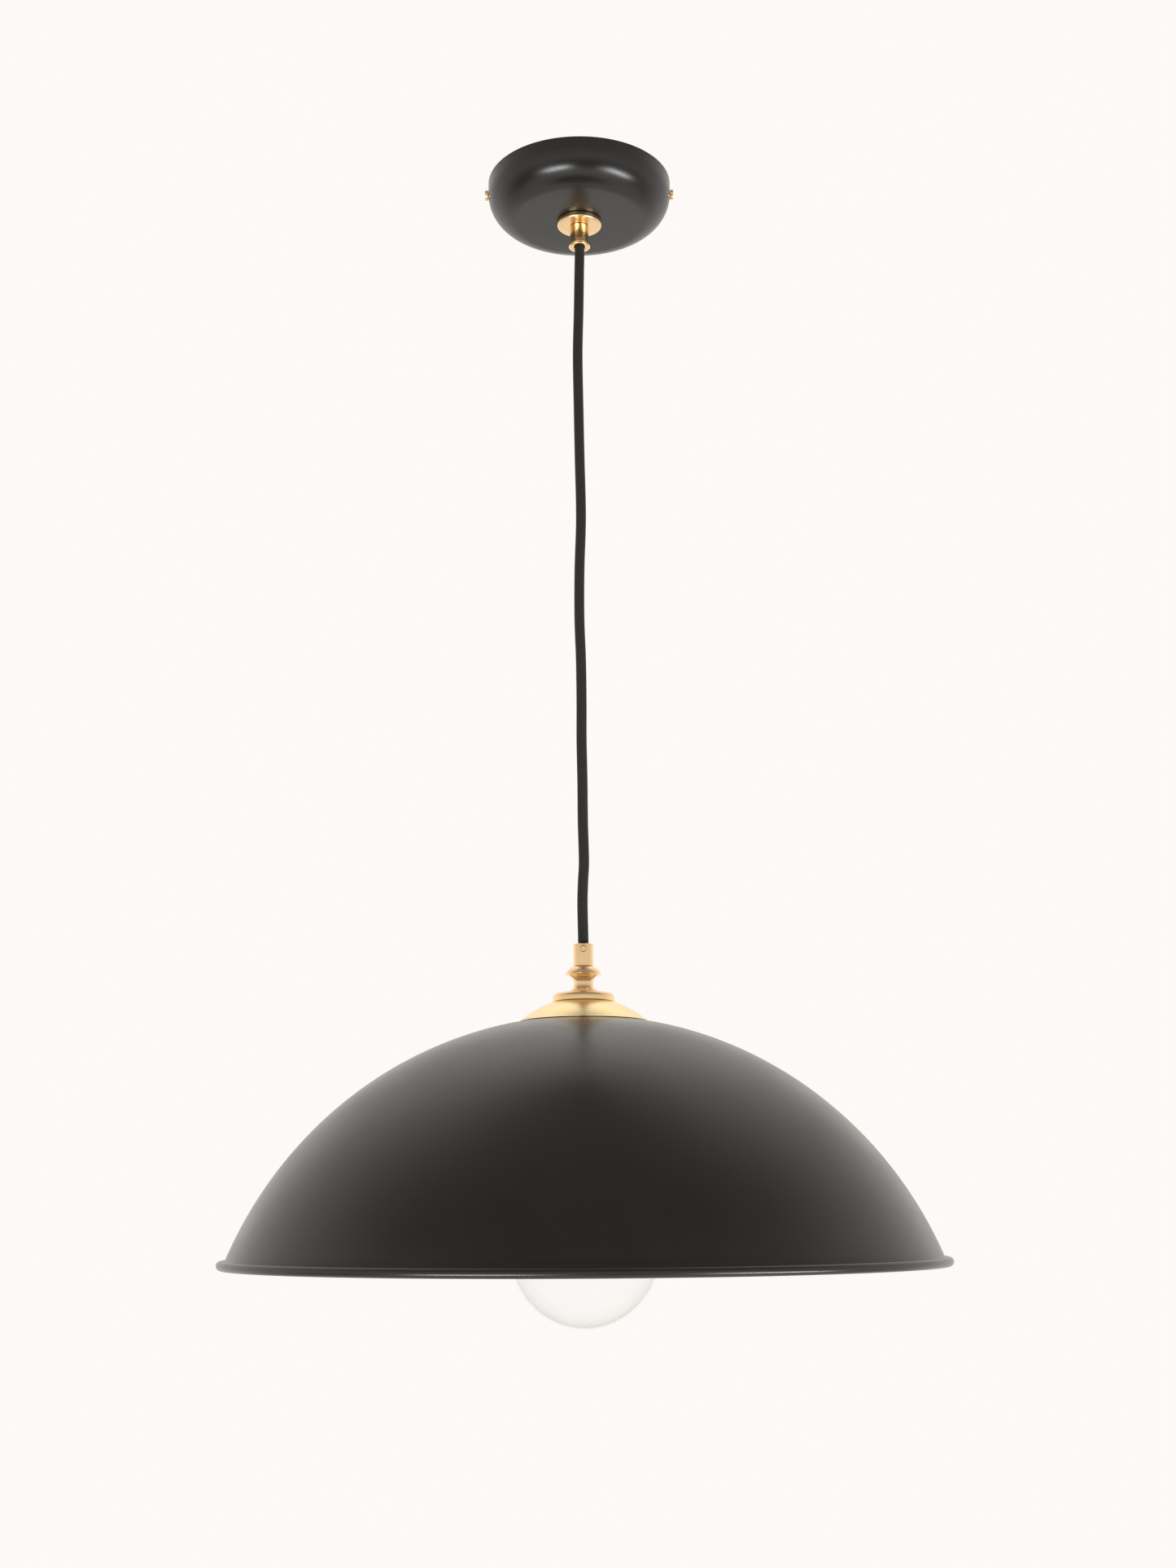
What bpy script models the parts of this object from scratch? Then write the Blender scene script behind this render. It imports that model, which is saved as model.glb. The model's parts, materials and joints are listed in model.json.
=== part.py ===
"""Pendant ceiling light: a spun dome shade that hangs on a fabric flex from a ceiling rose.

Metres, +Z up. The origin is the middle of the ceiling bracket's top face, so the ceiling is
the plane z = 0 and the lamp hangs along -Z. Heights in the lamp are measured up from the
shade's rim, and lamp functions add RIM_Z to them.
"""
import math

import bmesh
import bpy
from mathutils import Matrix, Vector

# Shared sizes
GAP = 0.0003                       # left between faces that touch
M10_RADIUS = 0.00485               # male M10 thread, modelled smooth
M10_HOLE = M10_RADIUS + GAP
M4_RADIUS = 0.00195
M4_HOLE = M4_RADIUS + GAP

# Flex: three-core, woven cover
FLEX_RADIUS = 0.0033
FLEX_BORE = FLEX_RADIUS + GAP
FLEX_STEP = 0.0165                 # distance between the tube's rings
CORE_RADIUS = 0.0011
CORE_SPREAD = 0.0014               # cores stand this far from the flex's centre
FLEX_TOP = -0.017                  # cut end inside the rose
BEND_UPPER = -0.062                # side swing, just below the rose's cord grip
BEND_UPPER_FRONT = -0.084
TWIST_Z = -0.2955
BEND_LOWER_FRONT = -0.507
BEND_LOWER = -0.529                # side tilt, just above the lamp's cord grip
BEND_CLEARANCE = 0.001             # each side of a bend, so that the ends clear at full swing
# Sideways lie of the hanging flex, (x, z) from the rose down to the lamp
FLEX_ROUTE = [
    (0.0, -0.017), (0.0, -0.052), (-0.0003, -0.068), (-0.0009, -0.098), (-0.00165, -0.129),
    (-0.00115, -0.174), (-0.0007, -0.204), (0.0, -0.248), (-0.0012, -0.286), (-0.0014, -0.319),
    (-0.00055, -0.348), (-0.0003, -0.376), (-0.0004, -0.403), (0.0, -0.431), (0.00015, -0.458),
    (0.0007, -0.485), (0.0, -0.498), (-0.0004, -0.512), (0.0, -0.539), (0.0, -0.6145),
]

# Ceiling rose
ROSE_RADIUS = 0.0639
ROSE_DEPTH = 0.0285
ROSE_CORNER = 0.0200
ROSE_WALL = 0.0012
ROSE_FLOOR = -ROSE_DEPTH + ROSE_WALL
SIDE_SCREW_Z = -0.008
SLOT_HALF_WIDTH = 0.0022
BRACKET_THICKNESS = 0.0015
BRACKET_HALF_WIDTH = 0.007
BRACKET_HALF_LENGTH = 0.0616
EAR_DEPTH = 0.0115
TAB_HALF_WIDTH = 0.013
TAB_REACH = 0.030
SCREW_SLOT_X = 0.027               # middle of each ceiling screw slot
SCREW_SLOT_LENGTH = 0.022
SCREW_SLOT_RADIUS = 0.0026
EARTH_SCREW_X = -0.0125
BLOCK_SIZE = Vector((0.030, 0.018, 0.0125))
BLOCK_CENTRE = Vector((0.0, 0.0195, -0.0084))
WAY_PITCH = 0.009                  # between the terminal block's three ways
WAY_SCREW_Y = 0.0048               # terminal screws each side of the block's middle
FLANGE_RADIUS = 0.0155
FLANGE_THICKNESS = 0.0036
ROSE_GRIP_RADIUS = 0.00655
ROSE_GRIP_MOUTH = -0.0485
ROSE_GRUB_Z = -0.0437

# Shade, heights above its rim
RIM_Z = -0.7365
SHADE_RADIUS = 0.225               # over the rolled bead
SHADE_WALL = 0.0008
DOME_RADIUS = 0.2368               # the dome is a cap of this sphere
DOME_CENTRE = -0.0853
BEAD_RADIUS = 0.00275

# Brass fittings above the shade, heights above the rim
CAP_RADIUS = 0.0415
CAP_DOME_RADIUS = 0.062
CAP_EDGE = 0.1482
CAP_TOP = 0.1607
CAP_WALL = 0.001
WASHER_DROP = 0.0014               # the flat inner washer bears on the dome at its rim, below the crown
DISC_RADIUS = 0.0199
DISC_BOTTOM = 0.1610
DISC_TOP = 0.1673
COUPLER_BOTTOM = DISC_TOP + GAP
COUPLER_NECK = 0.1725
COUPLER_TIP = 0.1783
COUPLER_TOP = 0.1838
LAMP_GRIP_RADIUS = 0.0064
LAMP_GRIP_TOP = 0.1984
LAMP_GRUB_HEIGHT = 0.1948
NIPPLE_TOP = 0.1765
NIPPLE_BOTTOM = 0.1200

# Lampholder, heights above the rim
HOLDER_RADIUS = 0.019
HOLDER_WALL = 0.0009
HOLDER_BOSS_TOP = 0.1290
HOLDER_SHOULDER = 0.1240
HOLDER_JOINT = 0.1030
HOLDER_MOUTH = 0.0705
INSERT_RADIUS = 0.0166
INSERT_TOP = 0.1120
INSERT_FLOOR = 0.0990
INSERT_BOTTOM = 0.0735
SHELL_RADIUS = 0.0141
POST_CIRCLE = 0.0090
POST_RADIUS = 0.0024
POST_TOP = 0.1180

# Bulb, heights above the rim
GLOBE_RADIUS = 0.0470
GLOBE_CENTRE = 0.0065
GLASS_WALL = 0.0008
NECK_RADIUS = 0.0124
NECK_TOP = 0.0780
BULB_CAP_RADIUS = 0.0132
BULB_CAP_BOTTOM = 0.0715
BULB_CAP_TOP = 0.0925
BULB_TIP_TOP = 0.0975
STEM_BOTTOM = 0.0400
FILAMENT_HEIGHT = 0.0200
FILAMENT_RADIUS = 0.0130

# Finishes: base colour, roughness, metallic
FINISHES = {
    "black_paint": ((0.022, 0.021, 0.020), 0.42, 0.0),
    "polished_brass": ((0.86, 0.62, 0.28), 0.14, 1.0),
    "satin_brass": ((0.83, 0.68, 0.40), 0.36, 1.0),
    "zinc_steel": ((0.62, 0.63, 0.64), 0.38, 1.0),
    "black_fabric": ((0.020, 0.020, 0.021), 0.92, 0.0),
    "white_nylon": ((0.82, 0.82, 0.80), 0.45, 0.0),
    "porcelain": ((0.86, 0.84, 0.79), 0.25, 0.0),
    "brown_pvc": ((0.17, 0.075, 0.035), 0.5, 0.0),
    "blue_pvc": ((0.03, 0.12, 0.42), 0.5, 0.0),
    "green_pvc": ((0.10, 0.33, 0.06), 0.5, 0.0),
    "clear_glass": ((0.95, 0.96, 0.96), 0.03, 0.0),
    "nickel": ((0.72, 0.70, 0.66), 0.28, 1.0),
    "black_glass": ((0.015, 0.015, 0.018), 0.12, 0.0),
    "tungsten": ((0.32, 0.31, 0.30), 0.45, 1.0),
}

# Moving bodies: parent and pivot. The rose is fixed to the ceiling and has no pivot.
BODIES = {
    "flex_bend_upper": (None, (0, 0, BEND_UPPER)),
    "flex_upper": ("flex_bend_upper", (0, 0, BEND_UPPER_FRONT)),
    "flex_lower": ("flex_upper", (0, 0, TWIST_Z)),
    "flex_bend_lower": ("flex_lower", (0, 0, BEND_LOWER_FRONT)),
    "lamp": ("flex_bend_lower", (0, 0, BEND_LOWER)),
    "bulb": ("lamp", (0, 0, RIM_Z + BULB_TIP_TOP)),
}


# ------------------------------------------------------------------ helpers

def clear_scene():
    for item in list(bpy.data.objects):
        bpy.data.objects.remove(item, do_unlink=True)


def add_bodies():
    """One empty for each moving body, on its joint's axis."""
    for name, (parent, pivot) in BODIES.items():
        empty = bpy.data.objects.new(name + "_body", None)
        empty.empty_display_size = 0.02
        bpy.context.scene.collection.objects.link(empty)
        empty.location = pivot
        if parent:
            empty.parent = bpy.data.objects[parent + "_body"]
            empty.location = Vector(pivot) - Vector(BODIES[parent][1])


def attach(item, body, finish):
    """Hang a piece, placed in world coordinates, on its body and give it its finish."""
    if body in BODIES:
        item.parent = bpy.data.objects[body + "_body"]
        item.location = item.location - Vector(BODIES[body][1])
    colour, roughness, metallic = FINISHES[finish]
    material = bpy.data.materials.new(item.name + "_" + finish)
    material.use_nodes = True
    shader = material.node_tree.nodes["Principled BSDF"]
    shader.inputs["Base Color"].default_value = (*colour, 1.0)
    shader.inputs["Roughness"].default_value = roughness
    shader.inputs["Metallic"].default_value = metallic
    shader.inputs["Transmission Weight"].default_value = 1.0 if finish == "clear_glass" else 0.0
    item.data.materials.clear()
    item.data.materials.append(material)
    return item


def add_object(name, data):
    item = bpy.data.objects.new(name, data)
    bpy.context.scene.collection.objects.link(item)
    return item


def mesh_object(name, form):
    """An object from a bmesh, with its faces pointing out and its round stretches smooth."""
    bmesh.ops.remove_doubles(form, verts=form.verts, dist=1e-6)
    bmesh.ops.recalc_face_normals(form, faces=form.faces)
    mesh = bpy.data.meshes.new(name)
    form.to_mesh(mesh)
    form.free()
    mesh.shade_smooth()
    mesh.set_sharp_from_angle(angle=math.radians(35))
    return add_object(name, mesh)


def arc(centre, radius, start, end, steps):
    """Points on a circle in the outline's plane, angles in degrees from the outward direction."""
    angles = [math.radians(start + (end - start) * i / steps) for i in range(steps + 1)]
    return [(centre[0] + radius * math.cos(a), centre[1] + radius * math.sin(a)) for a in angles]


def quarter(corner, reach, start, end, steps):
    """Points on an ellipse whose half axes are reach, as arc() gives them on a circle."""
    angles = [math.radians(start + (end - start) * i / steps) for i in range(steps + 1)]
    return [(corner[0] + reach[0] * math.cos(a), corner[1] + reach[1] * math.sin(a)) for a in angles]


def bowed(start, end, bow, steps):
    """Points on a shallow arc from start to end that stands off its chord by bow."""
    start, end = Vector(start), Vector(end)
    chord = end - start
    side = Vector((-chord.y, chord.x)).normalized()
    points = []
    for i in range(steps + 1):
        t = i / steps
        points.append(tuple(start + chord * t + side * bow * 4 * t * (1 - t)))
    return points


def turned(name, outline, segments=32, base=0.0):
    """A piece turned about Z from an outline of (radius, height) points.

    The outline closes on itself, unless it starts and ends on the axis.
    """
    form = bmesh.new()
    points = [form.verts.new((radius, 0, base + height)) for radius, height in outline]
    pairs = list(zip(points, points[1:]))
    if outline[0][0] > 0 or outline[-1][0] > 0:
        pairs.append((points[-1], points[0]))
    edges = [form.edges.new(pair) for pair in pairs]
    bmesh.ops.spin(form, geom=points + edges, cent=(0, 0, 0), axis=(0, 0, 1),
                   angle=2 * math.pi, steps=segments, use_merge=True)
    return mesh_object(name, form)


def aim(item, location, direction):
    """Put a piece that was made along Z at a location, with its top towards a direction."""
    item.location = location
    item.rotation_euler = Vector(direction).to_track_quat("Z", "Y").to_euler()
    return item


def block(name, centre, size, bevel=0.0):
    form = bmesh.new()
    bmesh.ops.create_cube(form, size=1, matrix=Matrix.Translation(centre) @ Matrix.Diagonal((*size, 1)))
    if bevel:
        bmesh.ops.bevel(form, geom=form.edges[:], offset=bevel, segments=1, affect="EDGES")
    return mesh_object(name, form)


def rod(radius, length, location, direction, segments=24):
    """A plain bar whose middle is at location, used as a cutter."""
    half = length / 2
    bar = turned("cutter", [(0, -half), (radius, -half), (radius, half), (0, half)], segments)
    return aim(bar, location, direction)


def combine(item, other, operation):
    """Apply a Boolean to item with other, and remove other."""
    modifier = item.modifiers.new("combine", "BOOLEAN")
    modifier.operation = operation
    modifier.solver = "EXACT"
    modifier.object = other
    bpy.context.view_layer.update()
    evaluated = item.evaluated_get(bpy.context.evaluated_depsgraph_get())
    mesh = bpy.data.meshes.new_from_object(evaluated)
    item.modifiers.clear()
    item.data = mesh
    bpy.data.objects.remove(other, do_unlink=True)
    mesh.shade_smooth()
    mesh.set_sharp_from_angle(angle=math.radians(35))
    return item


def cut(item, cutter):
    return combine(item, cutter, "DIFFERENCE")


def slotted_screw(name, shank_radius, shank_length, head_radius, head_height, segments=16):
    """A screw along Z, its head's underside at z = 0, with a slot across the head."""
    if head_height:
        crown = bowed((head_radius, head_height * 0.6), (0, head_height), 0.0002, 2)
        outline = [(0, -shank_length), (shank_radius, -shank_length), (shank_radius, 0), (head_radius, 0)]
        outline += crown
    else:
        outline = [(0, -shank_length), (shank_radius, -shank_length), (shank_radius, 0), (0, 0)]
    screw = turned(name, outline, segments)
    slot_depth = 0.0009
    slot_width = 0.0008
    slot = block("cutter", (0, 0, head_height), (head_radius * 3, slot_width, slot_depth * 2))
    return cut(screw, slot)


def hex_nut(name, across_flats, bottom, top):
    corner = across_flats / 2 / math.cos(math.radians(30))
    nut = turned(name, [(0, bottom), (corner, bottom), (corner, top), (0, top)], 6)
    return cut(nut, rod(M10_HOLE, 0.02, (0, 0, (bottom + top) / 2), (0, 0, 1)))


def washer(name, outer, hole, bottom, top, segments=24):
    return turned(name, [(hole, bottom), (outer, bottom), (outer, top), (hole, top)], segments)


def smooth_path(points, samples):
    """Points along a Catmull-Rom curve, samples of them for each stretch between two given points."""
    points = [Vector(point) for point in points]
    padded = [points[0] * 2 - points[1]] + points + [points[-1] * 2 - points[-2]]
    path = []
    for before, start, end, after in zip(padded, padded[1:], padded[2:], padded[3:]):
        for i in range(samples):
            t = i / samples
            linear = (end - before) * t
            square = (before * 2 - start * 5 + end * 4 - after) * t ** 2
            cube = (start * 3 - before - end * 3 + after) * t ** 3
            path.append(start + (linear + square + cube) / 2)
    return path + [points[-1]]


def tube(name, path, radius, bevel_resolution=2):
    """A tube with closed ends along a path."""
    curve = bpy.data.curves.new(name, "CURVE")
    curve.dimensions = "3D"
    curve.bevel_depth = radius
    curve.bevel_resolution = bevel_resolution
    curve.use_fill_caps = True
    spline = curve.splines.new("POLY")
    spline.points.add(len(path) - 1)
    for point, place in zip(spline.points, path):
        point.co = (*place, 1)
    return add_object(name, curve)


# ------------------------------------------------------------------ flex

def flex_point(z):
    """The flex's centre at height z, on a smooth curve through FLEX_ROUTE."""
    route = FLEX_ROUTE
    index = sum(1 for _, height in route[1:-1] if height >= z)
    slopes = []
    for i in (index, index + 1):
        low, high = max(i - 1, 0), min(i + 1, len(route) - 1)
        slopes.append((route[high][0] - route[low][0]) / (route[high][1] - route[low][1]))
    (x_start, z_start), (x_end, z_end) = route[index], route[index + 1]
    span = z_end - z_start
    t = (z - z_start) / span
    x = (x_start * (2 * t ** 3 - 3 * t ** 2 + 1) + x_end * (3 * t ** 2 - 2 * t ** 3)
         + span * (slopes[0] * (t ** 3 - 2 * t ** 2 + t) + slopes[1] * (t ** 3 - t ** 2)))
    return Vector((x, 0, z))


def flex_section(name, body, top, bottom):
    steps = max(2, round((top - bottom) / FLEX_STEP))
    path = [flex_point(top + (bottom - top) * i / steps) for i in range(steps + 1)]
    return attach(tube(name, path, FLEX_RADIUS, 4), body, "black_fabric")


def add_flex():
    clear = BEND_CLEARANCE
    flex_section("flex_rose_end", "rose", FLEX_TOP, BEND_UPPER + clear)
    flex_section("flex_bend_upper", "flex_bend_upper", BEND_UPPER - clear, BEND_UPPER_FRONT + clear)
    flex_section("flex_upper", "flex_upper", BEND_UPPER_FRONT - clear, TWIST_Z + GAP / 2)
    flex_section("flex_lower", "flex_lower", TWIST_Z - GAP / 2, BEND_LOWER_FRONT + clear)
    flex_section("flex_bend_lower", "flex_bend_lower", BEND_LOWER_FRONT - clear, BEND_LOWER + clear)
    flex_section("flex_lamp_end", "lamp", BEND_LOWER - clear, FLEX_ROUTE[-1][1])


def core(name, body, points, finish):
    """One insulated core, from its terminal to the flex's cut end."""
    return attach(tube(name, smooth_path(points, 3), CORE_RADIUS), body, finish)


# ------------------------------------------------------------------ ceiling rose

def add_bracket():
    """A steel strap with an ear bent down at each end and a tab for the terminal block."""
    bend = 0.002
    inner = BRACKET_HALF_LENGTH - BRACKET_THICKNESS
    corner = (BRACKET_HALF_LENGTH - bend, -bend)
    right = [(inner, -EAR_DEPTH), (BRACKET_HALF_LENGTH, -EAR_DEPTH)] + arc(corner, bend, 0, 90, 3)
    left = [(-x, z) for x, z in reversed(right)]
    outline = right + left + [(-inner, -BRACKET_THICKNESS), (inner, -BRACKET_THICKNESS)]
    form = bmesh.new()
    verts = [form.verts.new((x, -BRACKET_HALF_WIDTH, z)) for x, z in outline]
    side = form.faces.new(verts)
    swept = bmesh.ops.extrude_face_region(form, geom=[side])["geom"]
    moved = [piece for piece in swept if isinstance(piece, bmesh.types.BMVert)]
    bmesh.ops.translate(form, vec=(0, 2 * BRACKET_HALF_WIDTH, 0), verts=moved)
    bracket = mesh_object("ceiling_bracket", form)
    tab_middle = (0, TAB_REACH / 2, -BRACKET_THICKNESS / 2)
    tab = block("tab", tab_middle, (2 * TAB_HALF_WIDTH, TAB_REACH, BRACKET_THICKNESS))
    combine(bracket, tab, "UNION")
    for side_sign in (-1, 1):
        middle = side_sign * SCREW_SLOT_X
        straight = SCREW_SLOT_LENGTH - 2 * SCREW_SLOT_RADIUS
        cut(bracket, block("cutter", (middle, 0, 0), (straight, 2 * SCREW_SLOT_RADIUS, 0.01)))
        for end in (-1, 1):
            cut(bracket, rod(SCREW_SLOT_RADIUS, 0.01, (middle + end * straight / 2, 0, 0), (0, 0, 1)))
        cut(bracket, rod(M4_HOLE, 0.01, (side_sign * BRACKET_HALF_LENGTH, 0, SIDE_SCREW_Z), (1, 0, 0)))
    cut(bracket, rod(M4_HOLE, 0.01, (EARTH_SCREW_X, 0, 0), (0, 0, 1)))
    for way in (-0.5, 0.5):
        place = (way * WAY_PITCH, BLOCK_CENTRE.y, 0)
        cut(bracket, rod(0.0015, 0.01, place, (0, 0, 1), 12))
    attach(bracket, "rose", "zinc_steel")


def add_rose_cup():
    """The spun cup that covers the ceiling wiring, slotted for its side screws."""
    centre = (ROSE_RADIUS - ROSE_CORNER, -ROSE_DEPTH + ROSE_CORNER)
    outer = arc(centre, ROSE_CORNER, 0, -90, 6)
    inner = arc(centre, ROSE_CORNER - ROSE_WALL, -90, 0, 5)
    outline = [(ROSE_RADIUS, -2 * GAP)] + outer + [(M10_HOLE, -ROSE_DEPTH), (M10_HOLE, ROSE_FLOOR)]
    outline += inner + [(ROSE_RADIUS - ROSE_WALL, -2 * GAP)]
    cup = turned("rose_cup", outline, 44)
    for side in (-1, 1):
        cut(cup, rod(SLOT_HALF_WIDTH, 0.006, (side * ROSE_RADIUS, 0, SIDE_SCREW_Z), (1, 0, 0)))
        slot_top = 0.002
        middle = (side * ROSE_RADIUS, 0, (SIDE_SCREW_Z + slot_top) / 2)
        size = (0.006, 2 * SLOT_HALF_WIDTH, slot_top - SIDE_SCREW_Z)
        cut(cup, block("cutter", middle, size))
    attach(cup, "rose", "black_paint")


def add_side_screws():
    for name, side in (("rose_side_screw_left", -1), ("rose_side_screw_right", 1)):
        screw = slotted_screw(name, M4_RADIUS, 0.009, 0.00365, 0.0024, 16)
        aim(screw, (side * (ROSE_RADIUS + GAP), 0, SIDE_SCREW_Z), (side, 0, 0))
        attach(screw, "rose", "polished_brass")


def add_earth_terminal():
    """A screw and a ring tag that join the bracket to the earth link."""
    tag_top = -BRACKET_THICKNESS - GAP
    tag = washer("earth_tag", 0.0042, M4_HOLE, tag_top - 0.0008, tag_top, 16)
    tag.location.x = EARTH_SCREW_X
    bpy.context.view_layer.update()
    tail = block("tail", (EARTH_SCREW_X, -0.007, tag_top - 0.0004), (0.0036, 0.008, 0.0008))
    attach(combine(tag, tail, "UNION"), "rose", "nickel")
    screw = slotted_screw("earth_screw", M4_RADIUS, 0.0022, 0.0036, 0.002)
    aim(screw, (EARTH_SCREW_X, 0, tag_top - 0.0008 - GAP), (0, 0, -1))
    attach(screw, "rose", "polished_brass")


def add_terminal_block():
    """A three-way block: a nylon body, a brass tube in each way and two screws for each tube."""
    body = block("terminal_block", BLOCK_CENTRE, BLOCK_SIZE, 0.0006)
    tube_radius = 0.0024
    screw_radius = 0.0013
    block_bottom = BLOCK_CENTRE.z - BLOCK_SIZE.z / 2
    for way in (-1, 0, 1):
        x = way * WAY_PITCH
        cut(body, rod(tube_radius + GAP, 0.03, (x, BLOCK_CENTRE.y, BLOCK_CENTRE.z), (0, 1, 0), 12))
        for row in (-1, 1):
            y = BLOCK_CENTRE.y + row * WAY_SCREW_Y
            cut(body, rod(0.0018, 0.01, (x, y, BLOCK_CENTRE.z - 0.005), (0, 0, 1), 10))
    for way in (-0.5, 0.5):
        cut(body, rod(0.0015, 0.03, (way * WAY_PITCH, BLOCK_CENTRE.y, BLOCK_CENTRE.z), (0, 0, 1), 12))
    attach(body, "rose", "white_nylon")
    for way, wire_name in ((-1, "live"), (0, "earth"), (1, "neutral")):
        x = way * WAY_PITCH
        outline = [(0.0014, -0.0085), (tube_radius, -0.0085), (tube_radius, 0.0085), (0.0014, 0.0085)]
        insert = turned("terminal_" + wire_name, outline, 12)
        aim(insert, (x, BLOCK_CENTRE.y, BLOCK_CENTRE.z), (0, 1, 0))
        for row in (-1, 1):
            y = BLOCK_CENTRE.y + row * WAY_SCREW_Y
            hole = (x, y, BLOCK_CENTRE.z - 0.002)
            cut(insert, rod(screw_radius + GAP, 0.003, hole, (0, 0, 1), 10))
        attach(insert, "rose", "polished_brass")
        for row, place in ((-1, "flex"), (1, "supply")):
            y = BLOCK_CENTRE.y + row * WAY_SCREW_Y
            screw = slotted_screw("terminal_screw_" + wire_name + "_" + place, screw_radius, 0.0036,
                                  screw_radius, 0, 10)
            aim(screw, (x, y, block_bottom + 0.0012), (0, 0, -1))
            attach(screw, "rose", "zinc_steel")
    screw = slotted_screw("block_screw", 0.0012, BLOCK_SIZE.z + 0.0014, 0.0019, 0.0012, 12)
    aim(screw, (-WAY_PITCH / 2, BLOCK_CENTRE.y, block_bottom - GAP), (0, 0, -1))
    attach(screw, "rose", "zinc_steel")


def add_rose_cores():
    """The flex's three cores, up to the terminal block, and the link from its earth way."""
    entry_y = BLOCK_CENTRE.y - BLOCK_SIZE.y / 2 - GAP
    start_z = FLEX_TOP + 2 * GAP
    wires = ((-1, "live", "brown_pvc"), (0, "earth", "green_pvc"), (1, "neutral", "blue_pvc"))
    for way, name, finish in wires:
        angle = math.radians(90 - 120 * way)
        start = (CORE_SPREAD * math.cos(angle), CORE_SPREAD * math.sin(angle), start_z)
        rise = (start[0] * 1.3, start[1] * 1.3, start_z + 0.0025)
        middle = (way * WAY_PITCH * 0.55, 0.0035, -0.0110)
        end = (way * WAY_PITCH, entry_y, BLOCK_CENTRE.z)
        core("core_" + name, "rose", [start, rise, middle, end], finish)
    far_y = BLOCK_CENTRE.y + BLOCK_SIZE.y / 2 + GAP
    route = [(0, far_y, BLOCK_CENTRE.z), (-0.004, far_y + 0.004, -0.0075), (-0.016, far_y, -0.006),
             (-0.0225, 0.016, -0.0050), (-0.0235, 0.000, -0.0045), (-0.0200, -0.0120, -0.0038),
             (-0.0140, -0.0150, -0.0030), (-0.0125, -0.0113, -0.0024)]
    core("earth_link", "rose", route, "green_pvc")


def add_rose_fixings():
    """Washer and locknut that hold the cord grip in the cup's floor."""
    washer_top = ROSE_FLOOR + GAP + 0.0012
    attach(washer("rose_washer", 0.0095, M10_HOLE, ROSE_FLOOR + GAP, washer_top), "rose", "zinc_steel")
    nut = hex_nut("rose_locknut", 0.014, washer_top + GAP, washer_top + GAP + 0.003)
    attach(nut, "rose", "polished_brass")


def add_rose_flange():
    """The disc between the cup and its cord grip, rounded at its lower edge."""
    top = -ROSE_DEPTH - GAP
    bottom = top - FLANGE_THICKNESS
    edge = 0.0012
    lower_edge = arc((FLANGE_RADIUS - edge, bottom + edge), edge, -90, 0, 3)
    outline = [(M10_HOLE, top), (M10_HOLE, bottom)] + lower_edge + [(FLANGE_RADIUS, top)]
    attach(turned("rose_flange", outline, 32), "rose", "polished_brass")


def grub_hole(grip, z, radius):
    """A threaded side hole on the front of a cord grip."""
    return cut(grip, rod(M4_HOLE, 0.006, (0, -radius, z), (0, 1, 0), 20))


def add_grub_screw(name, body, z, face_depth):
    """A slotted grub screw whose end presses on the flex."""
    length = face_depth - FLEX_BORE
    screw = slotted_screw(name, M4_RADIUS, length, M4_RADIUS, 0)
    aim(screw, (0, -face_depth, z), (0, -1, 0))
    attach(screw, body, "polished_brass")


def add_rose_grip():
    """The cord grip below the rose: a threaded shank, a plain barrel and a lip at its mouth."""
    top = -ROSE_DEPTH - FLANGE_THICKNESS - 2 * GAP
    shank_top = -0.0195
    lip_radius = 0.0074
    lip_top = ROSE_GRIP_MOUTH + 0.0017
    outline = [(FLEX_BORE, shank_top), (FLEX_BORE, ROSE_GRIP_MOUTH + 0.001),
               (FLEX_BORE + 0.0012, ROSE_GRIP_MOUTH), (lip_radius - 0.0005, ROSE_GRIP_MOUTH),
               (lip_radius, ROSE_GRIP_MOUTH + 0.0005),
               (lip_radius, lip_top - 0.0004), (ROSE_GRIP_RADIUS, lip_top),
               (ROSE_GRIP_RADIUS, top), (M10_RADIUS, top), (M10_RADIUS, shank_top)]
    grip = turned("rose_cord_grip", outline, 24)
    grub_hole(grip, ROSE_GRUB_Z, ROSE_GRIP_RADIUS)
    attach(grip, "rose", "polished_brass")
    add_grub_screw("rose_grub_screw", "rose", ROSE_GRUB_Z, 0.0060)


# ------------------------------------------------------------------ shade and its brass

def dome_angle(radius, sphere):
    """Angle in degrees, from the outward direction, where a sphere has this distance from the axis."""
    return math.degrees(math.acos(radius / sphere))


def add_shade():
    """A spun dome with a round hole at its top and a rolled bead at its rim."""
    bead_centre = (SHADE_RADIUS - BEAD_RADIUS, 0)
    inner_radius = DOME_RADIUS - SHADE_WALL
    hole = M10_HOLE
    outer_end = dome_angle(0.2201, DOME_RADIUS)
    outer = arc((0, DOME_CENTRE), DOME_RADIUS, dome_angle(hole, DOME_RADIUS), outer_end, 11)
    bead = arc(bead_centre, BEAD_RADIUS, 138, -200, 8)
    inner_start = dome_angle(0.2195, inner_radius)
    inner = arc((0, DOME_CENTRE), inner_radius, inner_start, dome_angle(hole, inner_radius), 9)
    attach(turned("shade", outer + bead + inner, 50, RIM_Z), "lamp", "black_paint")


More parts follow.
